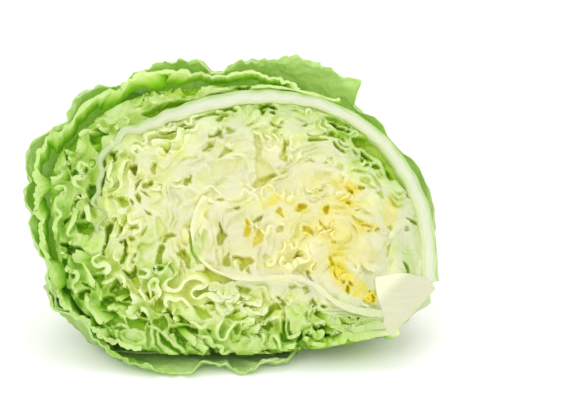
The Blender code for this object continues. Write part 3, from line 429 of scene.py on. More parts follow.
def unit(x: Array | float) -> Array:
    """Numbers kept between 0 and 1."""
    return np.clip(x, 0, 1)


def bell(x: Array) -> Array:
    """A smooth hump that is 1 at 0 and almost gone at 2."""
    return np.exp(-x ** 2)


def eased(x: Array) -> Array:
    """Numbers from 0 to 1, with a smooth start and end."""
    return x * x * (3 - 2 * x)


def norms(p: Array) -> Array:
    """The length of each row."""
    return np.sqrt((p * p).sum(axis=-1))


def angles(p: Array) -> Array:
    """The direction of each row in the plane of its first two numbers."""
    return np.arctan2(p[:, 1], p[:, 0])


def averaged(x: Array, reach: int) -> Array:
    """Each number's mean with its neighbours on both sides."""
    wide = 2 * reach + 1
    return np.convolve(np.pad(x, reach, mode="edge"), np.ones(wide) / wide, mode="valid")


def through(points: list[Pair] | Array, closed: bool = False, fine: int = 24) -> Array:
    """Draws a smooth curve through points.

    Args:
        points: the points, two or more columns.
        closed: whether the curve ends where it starts.
        fine: steps between two points.

    Returns:
        The curve's points, one a row.
    """
    p = np.asarray(points, float)
    if closed:
        a, b, c, d = (np.roll(p, turn, axis=0) for turn in (1, 0, -1, -2))
    else:
        e = np.vstack([2 * p[0] - p[1], p, 2 * p[-1] - p[-2]])
        a, b, c, d = e[:-3], e[1:-2], e[2:-1], e[3:]
    t = (np.arange(fine) / fine)[None, :, None]
    a, b, c, d = (q[:, None, :] for q in (a, b, c, d))
    curve = 2 * b + (c - a) * t + (2 * a - 5 * b + 4 * c - d) * t * t + (3 * b - a - 3 * c + d) * t ** 3
    curve = 0.5 * curve.reshape(-1, p.shape[1])
    return curve if closed else np.vstack([curve, p[-1]])


def lengths(p: Array) -> Array:
    """Length along a curve at each of its points."""
    step = np.diff(p, axis=0)
    return np.concatenate([[0.0], np.cumsum(norms(step))])


def evenly(points: Array, count: int, closed: bool = False) -> Array:
    """Cuts a curve into even steps.

    Args:
        points: the curve.
        count: how many steps.
        closed: whether the curve ends where it starts.

    Returns:
        The new points, one more than the steps on an open curve.
    """
    p = np.asarray(points, float)
    if closed:
        p = np.vstack([p, p[:1]])
    s = lengths(p)
    at = np.linspace(0, s[-1], count + 1)
    if closed:
        at = at[:-1]
    return np.column_stack([np.interp(at, s, p[:, k]) for k in range(p.shape[1])])


def sideways(p: Array) -> Array:
    """Finds the directions across a plane curve.

    Args:
        p: the curve.

    Returns:
        A unit vector to its left at each point.
    """
    along = np.gradient(p, axis=0)
    along /= np.maximum(1e-9, norms(along))[:, None]
    return np.column_stack([-along[:, 1], along[:, 0]])


def inside(points: Array, ring: Array) -> Array:
    """Tells which points lie inside a closed ring.

    Args:
        points: places in the plane.
        ring: the ring's corners.

    Returns:
        One truth value for each point.
    """
    x, y = points[:, 0], points[:, 1]
    found = np.zeros(len(points), bool)
    for (x0, y0), (x1, y1) in zip(ring, np.roll(ring, -1, axis=0)):
        if y0 != y1:
            crosses = (y0 > y) != (y1 > y)
            found ^= crosses & (x < (x1 - x0) * (y - y0) / (y1 - y0) + x0)
    return found


def waves(rng: np.random.Generator, s: Array, shortest: float, longest: float, size: float) -> Array:
    """Sums six sine waves along a curve.

    Args:
        rng: the seeded source of their pitches and phases.
        s: length along the curve.
        shortest: the shortest pitch.
        longest: the longest pitch.
        size: the usual height of the sum.

    Returns:
        The height at each point.
    """
    total = np.zeros_like(s)
    for _ in range(6):
        pitch = rng.uniform(shortest, longest)
        total += rng.normal() * np.sin(2 * math.pi * s / pitch + rng.uniform(0, 2 * math.pi))
    return total * size / math.sqrt(6)


def rim_curve() -> tuple[Array, Array]:
    """Turns the outline into polar places.

    Returns:
        Its angles and distances from the head's centre, in the order of the angles.
    """
    ring = through(OUTLINE, closed=True)
    turn = angles(ring)
    far = norms(ring)
    order = np.argsort(turn, kind="stable")
    return turn[order], far[order]


RIM_TURN, RIM_FAR = rim_curve()


def outline_radius(angle: Array) -> Array:
    """How far the outline is from the head's centre at an angle."""
    return np.interp(angle, RIM_TURN, RIM_FAR, period=2 * math.pi)


def rim_share(p: Array) -> Array:
    """How far out each point of the face is, with 1 on the outline."""
    return norms(p) / outline_radius(angles(p))


def looseness(p: Array) -> Array:
    """How loosely the leaves are packed at points of the face: 1 at the left and low down."""
    return unit(np.maximum(-p[:, 0] - 5, -1.6 * (p[:, 1] + 8)) / 40)


def lip_reach(angle: Array) -> Array:
    """How far the loose leaves' free edges stand outside the outline at an angle."""
    turn, far = np.array(LIP, float).T
    return np.maximum(0.9, np.interp(np.degrees(angle), turn, far, period=360.0) - outline_radius(angle))


class Field:
    """A smooth random field over the plane or over space."""

    def __init__(self, seed: int, count: int, shortest: float, longest: float, axes: int = 2) -> None:
        """Chooses the field's waves.

        Args:
            seed: the seed of its waves.
            count: how many waves it sums.
            shortest: the shortest pitch.
            longest: the longest pitch.
            axes: two for the plane, three for space.
        """
        rng = np.random.default_rng(seed)
        way = rng.normal(size=(count, axes))
        way /= norms(way)[:, None]
        self.way = way * (2 * math.pi / rng.uniform(shortest, longest, count))[:, None]
        self.phase = rng.uniform(0, 2 * math.pi, count)

    def at(self, p: Array) -> Array:
        """The field at points, mostly between -1 and 1."""
        total = np.sin(p @ self.way.T + self.phase).sum(axis=1)
        return np.clip(total / math.sqrt(len(self.phase)), -1.6, 1.6)


def hollow_share(p: Array, ring: Array) -> tuple[Array, Array]:
    """How far each point is inside a hollow.

    Args:
        p: points of the face.
        ring: the hollow's outline.

    Returns:
        0 outside the outline, 1 well inside, smooth between, and how much each point is on the lip round it.
    """
    nearest = np.full(len(p), 1e9)
    for a, b in zip(ring, np.roll(ring, -1, axis=0)):
        way = b - a
        along = unit((p - a) @ way / max(1e-9, way @ way))
        d = p - a - along[:, None] * way
        nearest = np.minimum(nearest, norms(d))
    signed = np.where(inside(p, ring), nearest, -nearest)
    share = unit((signed + 0.3) / 0.6)
    return eased(share), unit(1 - np.abs(signed + 0.75) / 0.75)


def patches(p: Array, table: list[tuple[float, ...]]) -> Array:
    """How strongly each point belongs to any of a table's oval patches.

    Args:
        p: points of the face.
        table: the patches.

    Returns:
        Shares from 0 to 1.
    """
    most = np.zeros(len(p))
    for u, v, wide, high, share, turn in table:
        c, s = math.cos(math.radians(turn)), math.sin(math.radians(turn))
        du, dv = p[:, 0] - u * PACE, p[:, 1] - v * PACE
        far = np.sqrt(((du * c + dv * s) / (wide * PACE)) ** 2 + ((dv * c - du * s) / (high * PACE)) ** 2)
        most = np.maximum(most, share * unit((1.2 - far) / 0.4))
    return most


# Growth of the leaves' cut edges


def layer_lines(p: Array) -> Array:
    """A number that grows by one from one layer of leaves to the next, along waved lines round the heart."""
    around = np.sqrt((p[:, 0] - 45) ** 2 + (1.25 * (p[:, 1] + 10)) ** 2)
    return (around + 5.0 * Field(50, 9, 16, 36).at(p) + 1.1 * Field(51, 9, 6, 12).at(p)) / 5.4


class Edge:
    """The cut edge of one leaf, before and after it has grown."""

    def __init__(
        self, group: Group, path: Array, growth: float = 1.0, gap: float = 4.2, stiff: bool = False
    ) -> None:
        """Lays the edge along its path.

        Args:
            group: the leaves that it belongs to.
            path: the curve that it starts on.
            growth: how many times longer it grows.
            gap: the distance that it keeps from its neighbours.
            stiff: whether it stays as it is.
        """
        self.group = group
        self.gap = gap
        self.stiff = stiff
        room = lengths(path)[-1]
        self.count = max(6, int(round(room * growth / NODE_STEP)))
        self.shape = evenly(path, self.count)
        self.step = room / self.count
        self.grown_step = room * growth / self.count


def near_pairs(x: Array, reach: float, edge_of: Array, skip: int = 5) -> tuple[Array, Array]:
    """Finds pairs of points nearer than the reach, without close neighbours on one curve.

    Args:
        x: all points.
        reach: the largest distance.
        edge_of: the number of each point's curve.
        skip: how many steps apart two points of one curve still are neighbours.

    Returns:
        The first and the second point of each pair.
    """
    order = np.argsort(x[:, 0], kind="stable")
    placed = x[order]
    left, right = [], []
    for k in range(1, len(x)):
        d = placed[k:] - placed[:-k]
        if not (d[:, 0] < reach).any():
            break
        found = np.nonzero((d * d).sum(axis=1) < reach * reach)[0]
        left.append(order[found])
        right.append(order[found + k])
    i, j = np.concatenate(left), np.concatenate(right)
    apart = (edge_of[i] != edge_of[j]) | (np.abs(i - j) > skip)
    return i[apart], j[apart]


@dataclass
class Springs:
    """Elastic curves in the plane: links that keep their length, bends that straighten, and a push
    between points that come too near."""

    edge_of: Array
    fixed: Array
    rest: Array
    gain: Array
    gaps: Array
    homes: Array
    spring: float = 0.35
    push: float = 0.5
    home: float = 0.002
    bend: float = 0.06
    fastest: float = 0.22

    def __post_init__(self) -> None:
        """Finds the links and the bends."""
        self.link = np.nonzero(np.diff(self.edge_of) == 0)[0]
        self.triples = []
        for stride, share in ((1, 1.0), (2, 0.3)):
            first = np.nonzero(self.edge_of[:-2 * stride] == self.edge_of[2 * stride:])[0]
            self.triples.append((stride, first, np.full((len(first), 1), self.bend * share)))

    def move(self, x: Array, grown: float, i: Array, j: Array, pair_gap: Array) -> None:
        """Moves all points by one step.

        Args:
            x: the points, changed in place.
            grown: how much of the gain in length is there, from 0 to 1.
            i: first points of the near pairs.
            j: second points of the near pairs.
            pair_gap: the distance that each pair keeps.
        """
        force = self.home * (self.homes - x)
        link = self.link
        d = x[link + 1] - x[link]
        size = norms(d)
        wanted = self.rest + self.gain * grown
        pull = (self.spring * (size - wanted) / size)[:, None] * d
        force[link] += pull
        force[link + 1] -= pull
        for stride, first, stiffness in self.triples:
            curl = (x[first] - 2 * x[first + stride] + x[first + 2 * stride]) * stiffness
            force[first] -= curl
            force[first + stride] += 2 * curl
            force[first + 2 * stride] -= curl
        d = x[j] - x[i]
        size = norms(d) + 1e-9
        away = self.push * np.maximum(0, pair_gap / np.maximum(size, 0.3) - 1)
        away = (np.minimum(away, 1.5) / size)[:, None] * d
        for axis in (0, 1):
            force[:, axis] += np.bincount(j, away[:, axis], len(x)) - np.bincount(i, away[:, axis], len(x))
        force[self.fixed] = 0
        size = norms(force)
        x += force * np.minimum(1, self.fastest / np.maximum(size, 1e-9))[:, None]


def smoothed(shape: Array, times: int) -> None:
    """Smooths a curve in place, its ends apart."""
    for _ in range(times):
        shape[1:-1] += 0.5 * (0.5 * (shape[:-2] + shape[2:]) - shape[1:-1])


def joined(shapes: list[Array]) -> tuple[Array, list[int], Array, Array]:
    """Joins curves into one row of points.

    Args:
        shapes: the curves.

    Returns:
        All points, each curve's count and first point, and the number of each point's curve.
    """
    sizes = [len(shape) for shape in shapes]
    starts = np.concatenate([[0], np.cumsum(sizes)])[:-1]
    return np.vstack(shapes), sizes, starts, np.repeat(np.arange(len(shapes)), sizes)


def grow(edges: list[Edge], steps: int = 560) -> None:
    """Lets the curves grow until they fold, each fold pushing the next away.

    Args:
        edges: the edges, whose shapes are changed.
        steps: how many steps the growth takes.
    """
    rng = np.random.default_rng(SEED)
    x, sizes, starts, edge_of = joined([edge.shape for edge in edges])
    fixed = np.repeat([edge.stiff for edge in edges], sizes)
    root = np.zeros(len(x), bool)
    growth = np.ones(len(x))
    for edge, a, n in zip(edges, starts, sizes):
        if edge.stiff:
            continue
        fixed[a] = True
        root[a:a + 9] = True
        s = np.arange(n) * edge.step
        across = sideways(x[a:a + n])
        side = waves(rng, s, 8.0, 22.0, 1.2) * np.minimum(1, s / 8)
        x[a:a + n] += across * side[:, None]
        growth[a:a + n] = np.clip(1 + waves(rng, s, 12, 40, 0.5), 0.35, 1.8) * np.minimum(1, 0.1 + s / 14)
    link = np.nonzero(np.diff(edge_of) == 0)[0]
    rest = np.array([edges[e].step for e in edge_of[link]])
    gain = np.array([edges[e].grown_step - edges[e].step for e in edge_of[link]]) * growth[link]
    gaps = np.array([edge.gap for edge in edges])[edge_of]
    springs = Springs(edge_of, fixed, rest, gain, gaps, x.copy())
    reach = gaps.max() + 1.6
    for step in range(steps):
        if step % 8 == 0:
            i, j = near_pairs(x, reach, edge_of)
            keep = ~((root[i] & fixed[j]) | (root[j] & fixed[i]))
            i, j = i[keep], j[keep]
            pair_gap = 0.5 * (gaps[i] + gaps[j])
        springs.move(x, min(1.0, step / (0.8 * steps)), i, j, pair_gap)
    for edge, a, n in zip(edges, starts, sizes):
        edge.shape = x[a:a + n]
        smoothed(edge.shape, 3)


# Numbers of single edges and of the edges that hold on to the stem, as main_edges makes them
BAND_EDGE = 2
ARC_EDGE = 9
ROOTED_EDGES = range(3, 13)
OUTERMOST_EDGES = (16, 17)
SPROUTS = 26
SHORTEST = 6


def main_edges() -> list[Edge]:
    """Lays and folds the main leaves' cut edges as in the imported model.

    Returns:
        The edges, folded.
    """
    outline = through(OUTLINE, closed=True)
    core = through(STEM_CORE, closed=True)
    edges = [
        Edge(Group.OUTSIDE, np.vstack([outline, outline[:1]]), gap=3.0, stiff=True),
        Edge(Group.STEM, np.vstack([core, core[:1]]), gap=3.0, stiff=True),
        Edge(Group.BAND, through(BAND), gap=6.0, stiff=True),
    ]
    upper = (Group.INNER, Group.INNER, Group.INNER, Group.HEART, Group.HEART)
    for points, growth, group in zip(UPPER_LEAVES, (1.6, 2.3, 2.8, 3.2, 3.2), upper):
        edges.append(Edge(group, through(points), growth))
    lower = (Group.HEART, Group.INNER, Group.INNER, Group.INNER, Group.OUTER)
    for points, growth, group in zip(LOWER_LEAVES, (2.8, 1.05, 2.6, 2.4, 2.0), lower):
        edges.append(Edge(group, through(points), growth, stiff=growth < 1.1))
    for points, growth in zip(SPARE_LEAVES, (1.35, 2.2, 1.7)):
        edges.append(Edge(Group.INNER, through(points), growth, gap=3.6))
    edges.append(Edge(Group.OUTER, through(OUTER_LEAF), 1.9, gap=4.4))
    edges.append(Edge(Group.OUTER, through(LEFT_LEAF), 1.8, gap=4.0))
    grow(edges)
    return edges


@dataclass(frozen=True)
class TightSpot:
    """A place of the cut face where the leaves are packed more tightly."""

    u: float
    v: float
    wide: float
    high: float
    less: float

    def share(self, p: Array) -> Array:
        """How much each point belongs to the spot, from 0 to 1."""
        return np.exp(-((p[:, 0] - self.u) / self.wide) ** 2 - ((p[:, 1] - self.v) / self.high) ** 2)


@dataclass
class Crinkles:
    """The second growth: every edge goes on folding until it has used up its room."""

    rounds: int = 15
    steps: int = 32
    rate: float = 0.2
    seed: int = 11
    widest_gap: float = 3.3
    band_gap: float = 5.2
    near: float = 6.8
    clear: float = 7.5
    spots: tuple[TightSpot, ...] = (
        TightSpot(36, -4, 32, 20, 1.7),
        TightSpot(30, 40, 42, 13, 1.6),
        TightSpot(66, 16, 16, 24, 1.2),
        TightSpot(50, -50, 14, 8, 2.0),
    )
    mix: Field = field(default_factory=lambda: Field(21, 9, 14, 34))

    def gap_at(self, p: Array) -> Array:
        """The distance wanted between leaf edges.

        Args:
            p: points of the face.

        Returns:
            A distance for each point.
        """
        gap = self.widest_gap + 1.2 * unit(-p[:, 0] / 60) + 0.5 * unit(-p[:, 1] / 50)
        for spot in self.spots:
            gap = gap - spot.less * spot.share(p)
        return np.maximum(1.7, gap * (1 + 0.28 * self.mix.at(p)))

    def sprouts(self, shapes: list[Array], stem_ring: Array, many: int) -> list[Array]:
        """Starts short new leaf edges in the widest free places.

        Args:
            shapes: the edges that are there.
            stem_ring: the stem core's outline.
            many: the most that may be started.

        Returns:
            The new edges.
        """
        rng = np.random.default_rng(SEED)
        grid = np.array([(u, v) for u in np.arange(-86, 92, 1.5) for v in np.arange(-64, 64, 1.5)])
        grid = grid[(rim_share(grid) < 0.955) & ~inside(grid, stem_ring)]
        points = np.vstack(shapes)
        free = np.full(len(grid), 1e9)
        for k in range(0, len(points), 400):
            d = grid[:, None, :] - points[None, k:k + 400, :]
            free = np.minimum(free, norms(d).min(axis=1))
        gap = self.gap_at(grid)
        made = []
        for _ in range(many):
            k = int(np.argmax(free / gap))
            if free[k] < 1.02 * gap[k]:
                break
            centre = grid[k]
            turn = math.atan2(centre[1] + 8, centre[0] - 15) + math.pi / 2 + rng.uniform(-0.5, 0.5)
            way = np.array([math.cos(turn), math.sin(turn)])
            half = min(7.0, max(1.8, 0.95 * free[k] - 0.2))
            at = np.linspace(-half, half, max(6, int(2 * half / FINE_STEP)))
            hook = rng.uniform(-0.09, 0.09) * at * at
            shape = centre + at[:, None] * way + hook[:, None] * np.array([-way[1], way[0]])
            made.append(shape)
            for q in shape:
                free = np.minimum(free, norms(grid - q))
        return made

    def free_room(self, x: Array, edge_of: Array, gaps: Array) -> Array:
        """How much room each point has left to fold into.

        Args:
            x: all points.
            edge_of: the number of each point's curve.
            gaps: the distance wanted at each point.

        Returns:
            0 for a point that is packed tight, 1 for a free one.
        """
        i, j = near_pairs(x, self.clear, edge_of, 7)
        dist = norms(x[i] - x[j])
        free = np.full(len(x), self.clear)
        np.minimum.at(free, i, dist)
        np.minimum.at(free, j, dist)
        return unit((free / gaps - 0.86) / 0.4)

    def resampled(self, shape: Array, target: Array) -> tuple[Array, Array]:
        """A curve in even steps of the length that it should have, and that length at its points."""
        at = np.linspace(0, target[-1], max(5, int(round(target[-1] / FINE_STEP))) + 1)
        return np.column_stack([np.interp(at, target, shape[:, axis]) for axis in (0, 1)]), at

    def gains(self, x: Array, edge_of: Array, rest: Array, room: Array, rng: np.random.Generator) -> Array:
        """How much longer each link gets in one round.

        Args:
            x: all points.
            edge_of: the number of each point's curve.
            rest: each link's length so far.
            room: how much room each point has left.
            rng: the seeded source of the links' differences.

        Returns:
            The gain of each link.
        """
        link = np.nonzero(np.diff(edge_of) == 0)[0]
        nine = np.ones(9) / 9
        slack = unit((norms(x[link + 1] - x[link]) / rest - 0.72) / 0.15)
        slack = np.convolve(slack, nine, mode="same")
        noise = np.convolve(np.clip(0.5 + 0.8 * rng.normal(size=len(x)), 0.0, 2.0), nine, mode="same")
        return rest * self.rate * 0.5 * (room[link] + room[link + 1]) * noise[link] * slack

    def settle(self, x: Array, springs: Springs) -> None:
        """Lets the springs move all points.

        Args:
            x: the points, changed in place.
            springs: their links and gaps.
        """
        fixed = springs.fixed
        for step in range(self.steps):
            if step % 9 == 0:
                i, j = near_pairs(x, self.near, springs.edge_of)
                pair_gap = 0.5 * (springs.gaps[i] + springs.gaps[j])
                d = x[j] - x[i]
                near = ((d * d).sum(axis=1) < (pair_gap + 0.8) ** 2) & ~(fixed[i] & fixed[j])
                i, j, pair_gap = i[near], j[near], pair_gap[near]
            springs.move(x, min(1.0, step / (0.7 * self.steps)), i, j, pair_gap)

    def fold(self, shapes: list[Array], stiff: list[bool], rooted: int) -> list[Array]:
        """Lets every curve that isn't stiff go on folding.

        Args:
            shapes: the curves.
            stiff: which of them stay as they are.
            rooted: how many of them, from the first, hold on to the stem.

        Returns:
            The folded curves, in the same order.
        """
        rng = np.random.default_rng(self.seed)
        core = np.asarray(STEM_CORE, float)
        stem_room = core + (core - core.mean(axis=0)) * 0.12
        targets = [lengths(shape) for shape in shapes]
        for _ in range(self.rounds):
            for k, shape in enumerate(shapes):
                if not stiff[k]:
                    shapes[k], targets[k] = self.resampled(shape, targets[k])
            x, sizes, starts, edge_of = joined(shapes)
            fixed = np.repeat(stiff, sizes)
            for a in starts[:rooted]:
                fixed[a:a + 4] = True
            rest = np.concatenate([np.diff(t) for t in targets])
            gaps = self.gap_at(x)
            gaps[edge_of == BAND_EDGE] = self.band_gap
            room = self.free_room(x, edge_of, gaps)
            room[inside(x, stem_room) | inside(x, np.asarray(RIB_ROOM, float))] = 0
            gain = self.gains(x, edge_of, rest, room, rng)
            side = waves(rng, np.arange(len(x)) * FINE_STEP, 4.0, 9.0, 1.6)
            x = x + (~fixed * 0.22 * side)[:, None] * sideways(x)
            self.settle(x, Springs(
                edge_of, fixed, rest, gain, gaps, x.copy(), push=0.25, home=0.0015, bend=0.05, fastest=0.16
            ))
            far = norms(x)
            most = outline_radius(angles(x)) * 0.985 - 0.6
            over = (far > most) & ~fixed
            x[over] *= (most[over] / far[over])[:, None]
            shapes = [x[a:a + n].copy() for a, n in zip(starts, sizes)]
            ends = np.cumsum(np.array(sizes) - 1)[:-1]
            targets = [np.concatenate([[0.0], np.cumsum(part)]) for part in np.split(rest + gain, ends)]
        for k, shape in enumerate(shapes):
            if not stiff[k]:
                smoothed(shape, 2)
        return shapes


@dataclass
class Fold:
    """One folded leaf edge of the finished cut face."""

    group: Group
    path: Array
    rooted: bool
    arc: bool
    loose: bool = False


def calmed(shape: Array, seed: int) -> Array:
    """Flattens the folds of an outer leaf in some stretches, most of all over the top.

    Args:
        shape: the folded edge.
        seed: the seed of the stretches.

    Returns:
        The calmer edge.
    """
    s = lengths(shape)
    calm = shape.copy()
    smoothed(calm, 150)
    share = np.clip(0.35 + waves(np.random.default_rng(seed), s, 30, 80, 0.6), 0, 0.9)
    over = unit((calm[:, 0] + 48) / 16) * unit((calm[:, 1] - 30) / 10)
    share = np.maximum(share, 0.93 * over)
    return shape + (calm - shape) * share[:, None]


def rim_leaf() -> Array:
    """Draws the edge of one more loose leaf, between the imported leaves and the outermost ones.

    Returns:
        The edge.
    """
    turn = np.radians(np.linspace(62, 236, 900))
    ends = unit(np.minimum(turn - turn[0], turn[-1] - turn) / 0.35)
    far = outline_radius(turn) + 0.45 * lip_reach(turn) * ends - 2.5 * (1 - ends)
    path = evenly(np.column_stack([far * np.cos(turn), far * np.sin(turn)]), 560)
    smoothed(path, 30)
    s = lengths(path)
    rng = np.random.default_rng(77)
    size = np.clip(0.8 + waves(rng, s, 30, 70, 0.8), 0.1, 1.8)
    side = (waves(rng, s, 6, 18, 1.7) + waves(rng, s, 3, 6, 0.45)) * size
    return path + sideways(path) * side[:, None]


def rooted_at_stem(shape: Array) -> Array:
    """Straightens the first stretch of an edge and lets it run on into the stem.

    Args:
        shape: the folded edge.

    Returns:
        The longer edge.
    """
    calm = shape.copy()
    smoothed(calm, 160)
    shape = shape + (calm - shape) * bell(lengths(shape) / 24)[:, None]
    way = shape[0] - shape[min(8, len(shape) - 1)]
    way = way / math.sqrt(way @ way)
    return np.vstack([shape[0] + np.outer(np.arange(8, 0, -1) * FINE_STEP, way), shape])


def group_at(place: Array) -> Group:
    """Finds the group whose room a place of the face lies in.

    Args:
        place: the place.

    Returns:
        The innermost group.
    """
    rooms = ((HEART_ROOM, Group.HEART), (INNER_ROOM, Group.INNER))
    found = [group for room, group in rooms if inside(place[None], through(room, closed=True))[0]]
    return found[0] if found else Group.OUTER


def folded_edges() -> list[Fold]:
    """Folds all leaf edges of the cut face.

    Returns:
        The folds, without the outline, the stem and the band.
    """
    edges = main_edges()
    shapes = [edge.shape for edge in edges]
    stem_ring = through(STEM_CORE, closed=True)
    crinkles = Crinkles()
    extra = crinkles.sprouts(shapes, stem_ring, SPROUTS)
    groups = [edge.group for edge in edges] + [group_at(shape.mean(axis=0)) for shape in extra]
    stiff = [edge.stiff for edge in edges] + [False] * len(extra)
    shapes = crinkles.fold(shapes + extra, stiff, len(edges))
    made = []
    for k, (group, shape) in enumerate(zip(groups, shapes)):
        if group in (Group.OUTSIDE, Group.STEM, Group.BAND):
            continue
        if k in ROOTED_EDGES:
            shape = rooted_at_stem(shape)
        if k in OUTERMOST_EDGES:
            shape = calmed(shape, k)
        first = int(np.argmax(~inside(shape, stem_ring)))
        shape = shape[max(0, first - 2):]
        if len(shape) > SHORTEST:
            made.append(Fold(group, shape, k in ROOTED_EDGES, k == ARC_EDGE))
    made.append(Fold(Group.OUTER, rim_leaf(), False, False, True))
    return made


# Places and meshes


def shrink(depth: Array) -> Array:
    """How much a curve of the face has shrunk at a depth behind it, with the dome."""
    return np.sqrt(unit(1 - (np.clip(depth, 0, DOME_DEPTH) / DOME_DEPTH) ** 2))


def face_to_world(points: Array) -> Array:
    """Turns points of the face's frame, in millimetres, into the model's frame, in metres.

    Args:
        points: points of the face's frame.

    Returns:
        The same points in the model's frame.
    """
    p = np.asarray(points, float)
    y = p[:, 1] * LEAN_SIN + p[:, 2] * LEAN_COS
    z = p[:, 1] * LEAN_COS - p[:, 2] * LEAN_SIN
    return np.column_stack([p[:, 0] + FACE_TO_SIDE, y + FACE_TO_BACK, z + FACE_TO_FLOOR]) * MM


def turn_out(piece: bpy.types.Object) -> None:
    """Turns a piece's faces outwards.

    Args:
        piece: the piece.
    """
    bpy.ops.object.select_all(action="DESELECT")
    bpy.context.view_layer.objects.active = piece
    piece.select_set(True)
    bpy.ops.object.mode_set(mode="EDIT")
    bpy.ops.mesh.select_all(action="SELECT")
    bpy.ops.mesh.normals_make_consistent(inside=False)
    bpy.ops.object.mode_set(mode="OBJECT")
    piece.select_set(False)


@dataclass
class Skin:
    """Points in the face's frame, faces over them and the values that their finish reads."""

    points: list[Array] = field(default_factory=list)
    faces: list[Array] = field(default_factory=list)
    values: dict[str, list[Array]] = field(default_factory=dict)
    count: int = 0

    def add(self, points: Array, faces: list[Array], **values: Array) -> None:
        """Adds a patch.

        Args:
            points: its points in the face's frame.
            faces: its quads and its triangles, numbered from its own first point.
            values: one number for each point, by name.
        """
        self.points.append(points)
        self.faces += [part + self.count for part in faces]
        for name, numbers in values.items():
            self.values.setdefault(name, []).append(np.broadcast_to(numbers, len(points)))
        self.count += len(points)

    def build(self, name: str, finish: "Finish", lowest: float = 0.0) -> bpy.types.Object:
        """Makes an object of the patches and dresses it.

        Args:
            name: the object's name.
            finish: its finish.
            lowest: the lowest height that it may reach, in millimetres.

        Returns:
            The finished piece, smooth shaded, with its values as point attributes.
        """
        world = face_to_world(np.vstack(self.points))
        world[:, 2] = np.maximum(world[:, 2], lowest * MM)
        loops = np.concatenate([part.ravel() for part in self.faces])
        sizes = np.concatenate([np.full(len(part), part.shape[1]) for part in self.faces])
        mesh = bpy.data.meshes.new(name)
        mesh.vertices.add(len(world))
        mesh.vertices.foreach_set("co", world.ravel())
        mesh.loops.add(len(loops))
        mesh.loops.foreach_set("vertex_index", loops)
        mesh.polygons.add(len(sizes))
        mesh.polygons.foreach_set("loop_start", np.concatenate([[0], np.cumsum(sizes)[:-1]]))
        mesh.polygons.foreach_set("loop_total", sizes)
        mesh.update(calc_edges=True)
        for label, parts in self.values.items():
            numbers = mesh.attributes.new(label, "FLOAT", "POINT")
            numbers.data.foreach_set("value", np.concatenate(parts).astype(np.float32))
        mesh.validate()
        made = bpy.data.objects.new(name, mesh)
        bpy.context.scene.collection.objects.link(made)
        mesh.shade_smooth()
        mesh.set_sharp_from_angle(angle=math.radians(SHARP_EDGE))
        turn_out(made)
        mesh.materials.append(finish.build())
        return made


def grid_faces(rows: int, columns: int, start: int = 0, turned: bool = False) -> Array:
    """Quads over a grid of points.

    Args:
        rows: rows of points.
        columns: points in a row.
        start: the number of the first point.
        turned: whether the quads face the other way.

    Returns:
        Four point numbers for each quad.
    """
    i, j = np.meshgrid(np.arange(rows - 1), np.arange(columns - 1), indexing="ij")
    a = (start + i * columns + j).ravel()
    quads = np.column_stack([a, a + 1, a + columns + 1, a + columns])
    return quads[:, ::-1] if turned else quads


def border(rows: int, columns: int) -> Array:
    """Walks round a grid.

    Args:
        rows: rows of points.
        columns: points in a row.

    Returns:
        The point numbers all round it, in order.
    """
    count = rows * columns
    return np.concatenate([
        np.arange(columns - 1), np.arange(rows - 1) * columns + columns - 1,
        np.arange(count - 1, count - columns, -1), np.arange(rows - 1, 0, -1) * columns,
    ])


def lantern(rings: Array) -> tuple[Array, list[Array]]:
    """Closes a row of rings into a solid, with a point at the middle of its first and last ring.

    Args:
        rings: rings by points of a ring.

    Returns:
        The points and the faces.
    """
    rows, columns = rings.shape[:2]
    points = np.vstack([rings.reshape(-1, 3), rings[0].mean(axis=0), rings[-1].mean(axis=0)])
    i, j = np.meshgrid(np.arange(rows - 1), np.arange(columns), indexing="ij")
    after = (j + 1) % columns
    a, b = (i * columns + j).ravel(), (i * columns + after).ravel()
    quads = np.column_stack([a, b, b + columns, a + columns])
    j = np.arange(columns)
    after = (j + 1) % columns
    last = (rows - 1) * columns
    first_cap = np.column_stack([after, j, np.full(columns, rows * columns)])
    last_cap = np.column_stack([last + j, last + after, np.full(columns, rows * columns + 1)])
    return points, [quads, first_cap, last_cap]


def sheet(centre: Array, half: Array) -> tuple[Array, list[Array]]:
    """Gives a grid of points its thickness and closes it all round. Its first row is cut level.

    Args:
        centre: rows by columns of points, the first row in front.
        half: half the thickness at each point.

    Returns:
        The points, near side first, and the quads.
    """
    rows, columns = centre.shape[:2]
    normal = np.cross(np.gradient(centre, axis=1), np.gradient(centre, axis=0))
    normal /= np.maximum(1e-9, norms(normal))[:, :, None]
    flat = normal[0] * np.array([1.0, 1.0, 0.0])
    level = norms(flat)[:, None]
    normal[0] = flat / np.maximum(0.6, level) / np.maximum(0.6, level)
    left, right = centre + normal * half[:, :, None], centre - normal * half[:, :, None]
    count = rows * columns
    loop = border(rows, columns)
    after = np.roll(loop, -1)
    faces = [
        grid_faces(rows, columns, 0), grid_faces(rows, columns, count, turned=True),
        np.column_stack([after, loop, loop + count, after + count]),
    ]
    return np.vstack([left.reshape(-1, 3), right.reshape(-1, 3)]), faces


# Finishes


def srgb(red: int, green: int, blue: int) -> Rgb:
    """Makes a colour, given as it looks on screen, linear.

    Args:
        red: its red part, up to 255.
        green: its green part.
        blue: its blue part.

    Returns:
        The linear colour.
    """
    made = []
    for value in (red, green, blue):
        part = value / 255
        made.append(part / 12.92 if part <= 0.04045 else ((part + 0.055) / 1.055) ** 2.4)
    return made[0], made[1], made[2]


def shades(places: tuple[float, ...], *colours: tuple[int, int, int]) -> Stops:
    """Colours, given as they look on screen, at their places on a ramp."""
    return tuple((place, srgb(*colour)) for place, colour in zip(places, colours))


# The ages of packed leaves that have a colour of their own, from the heart to the outside
AGES = (0.0, 0.22, 0.45, 0.75, 1.0)


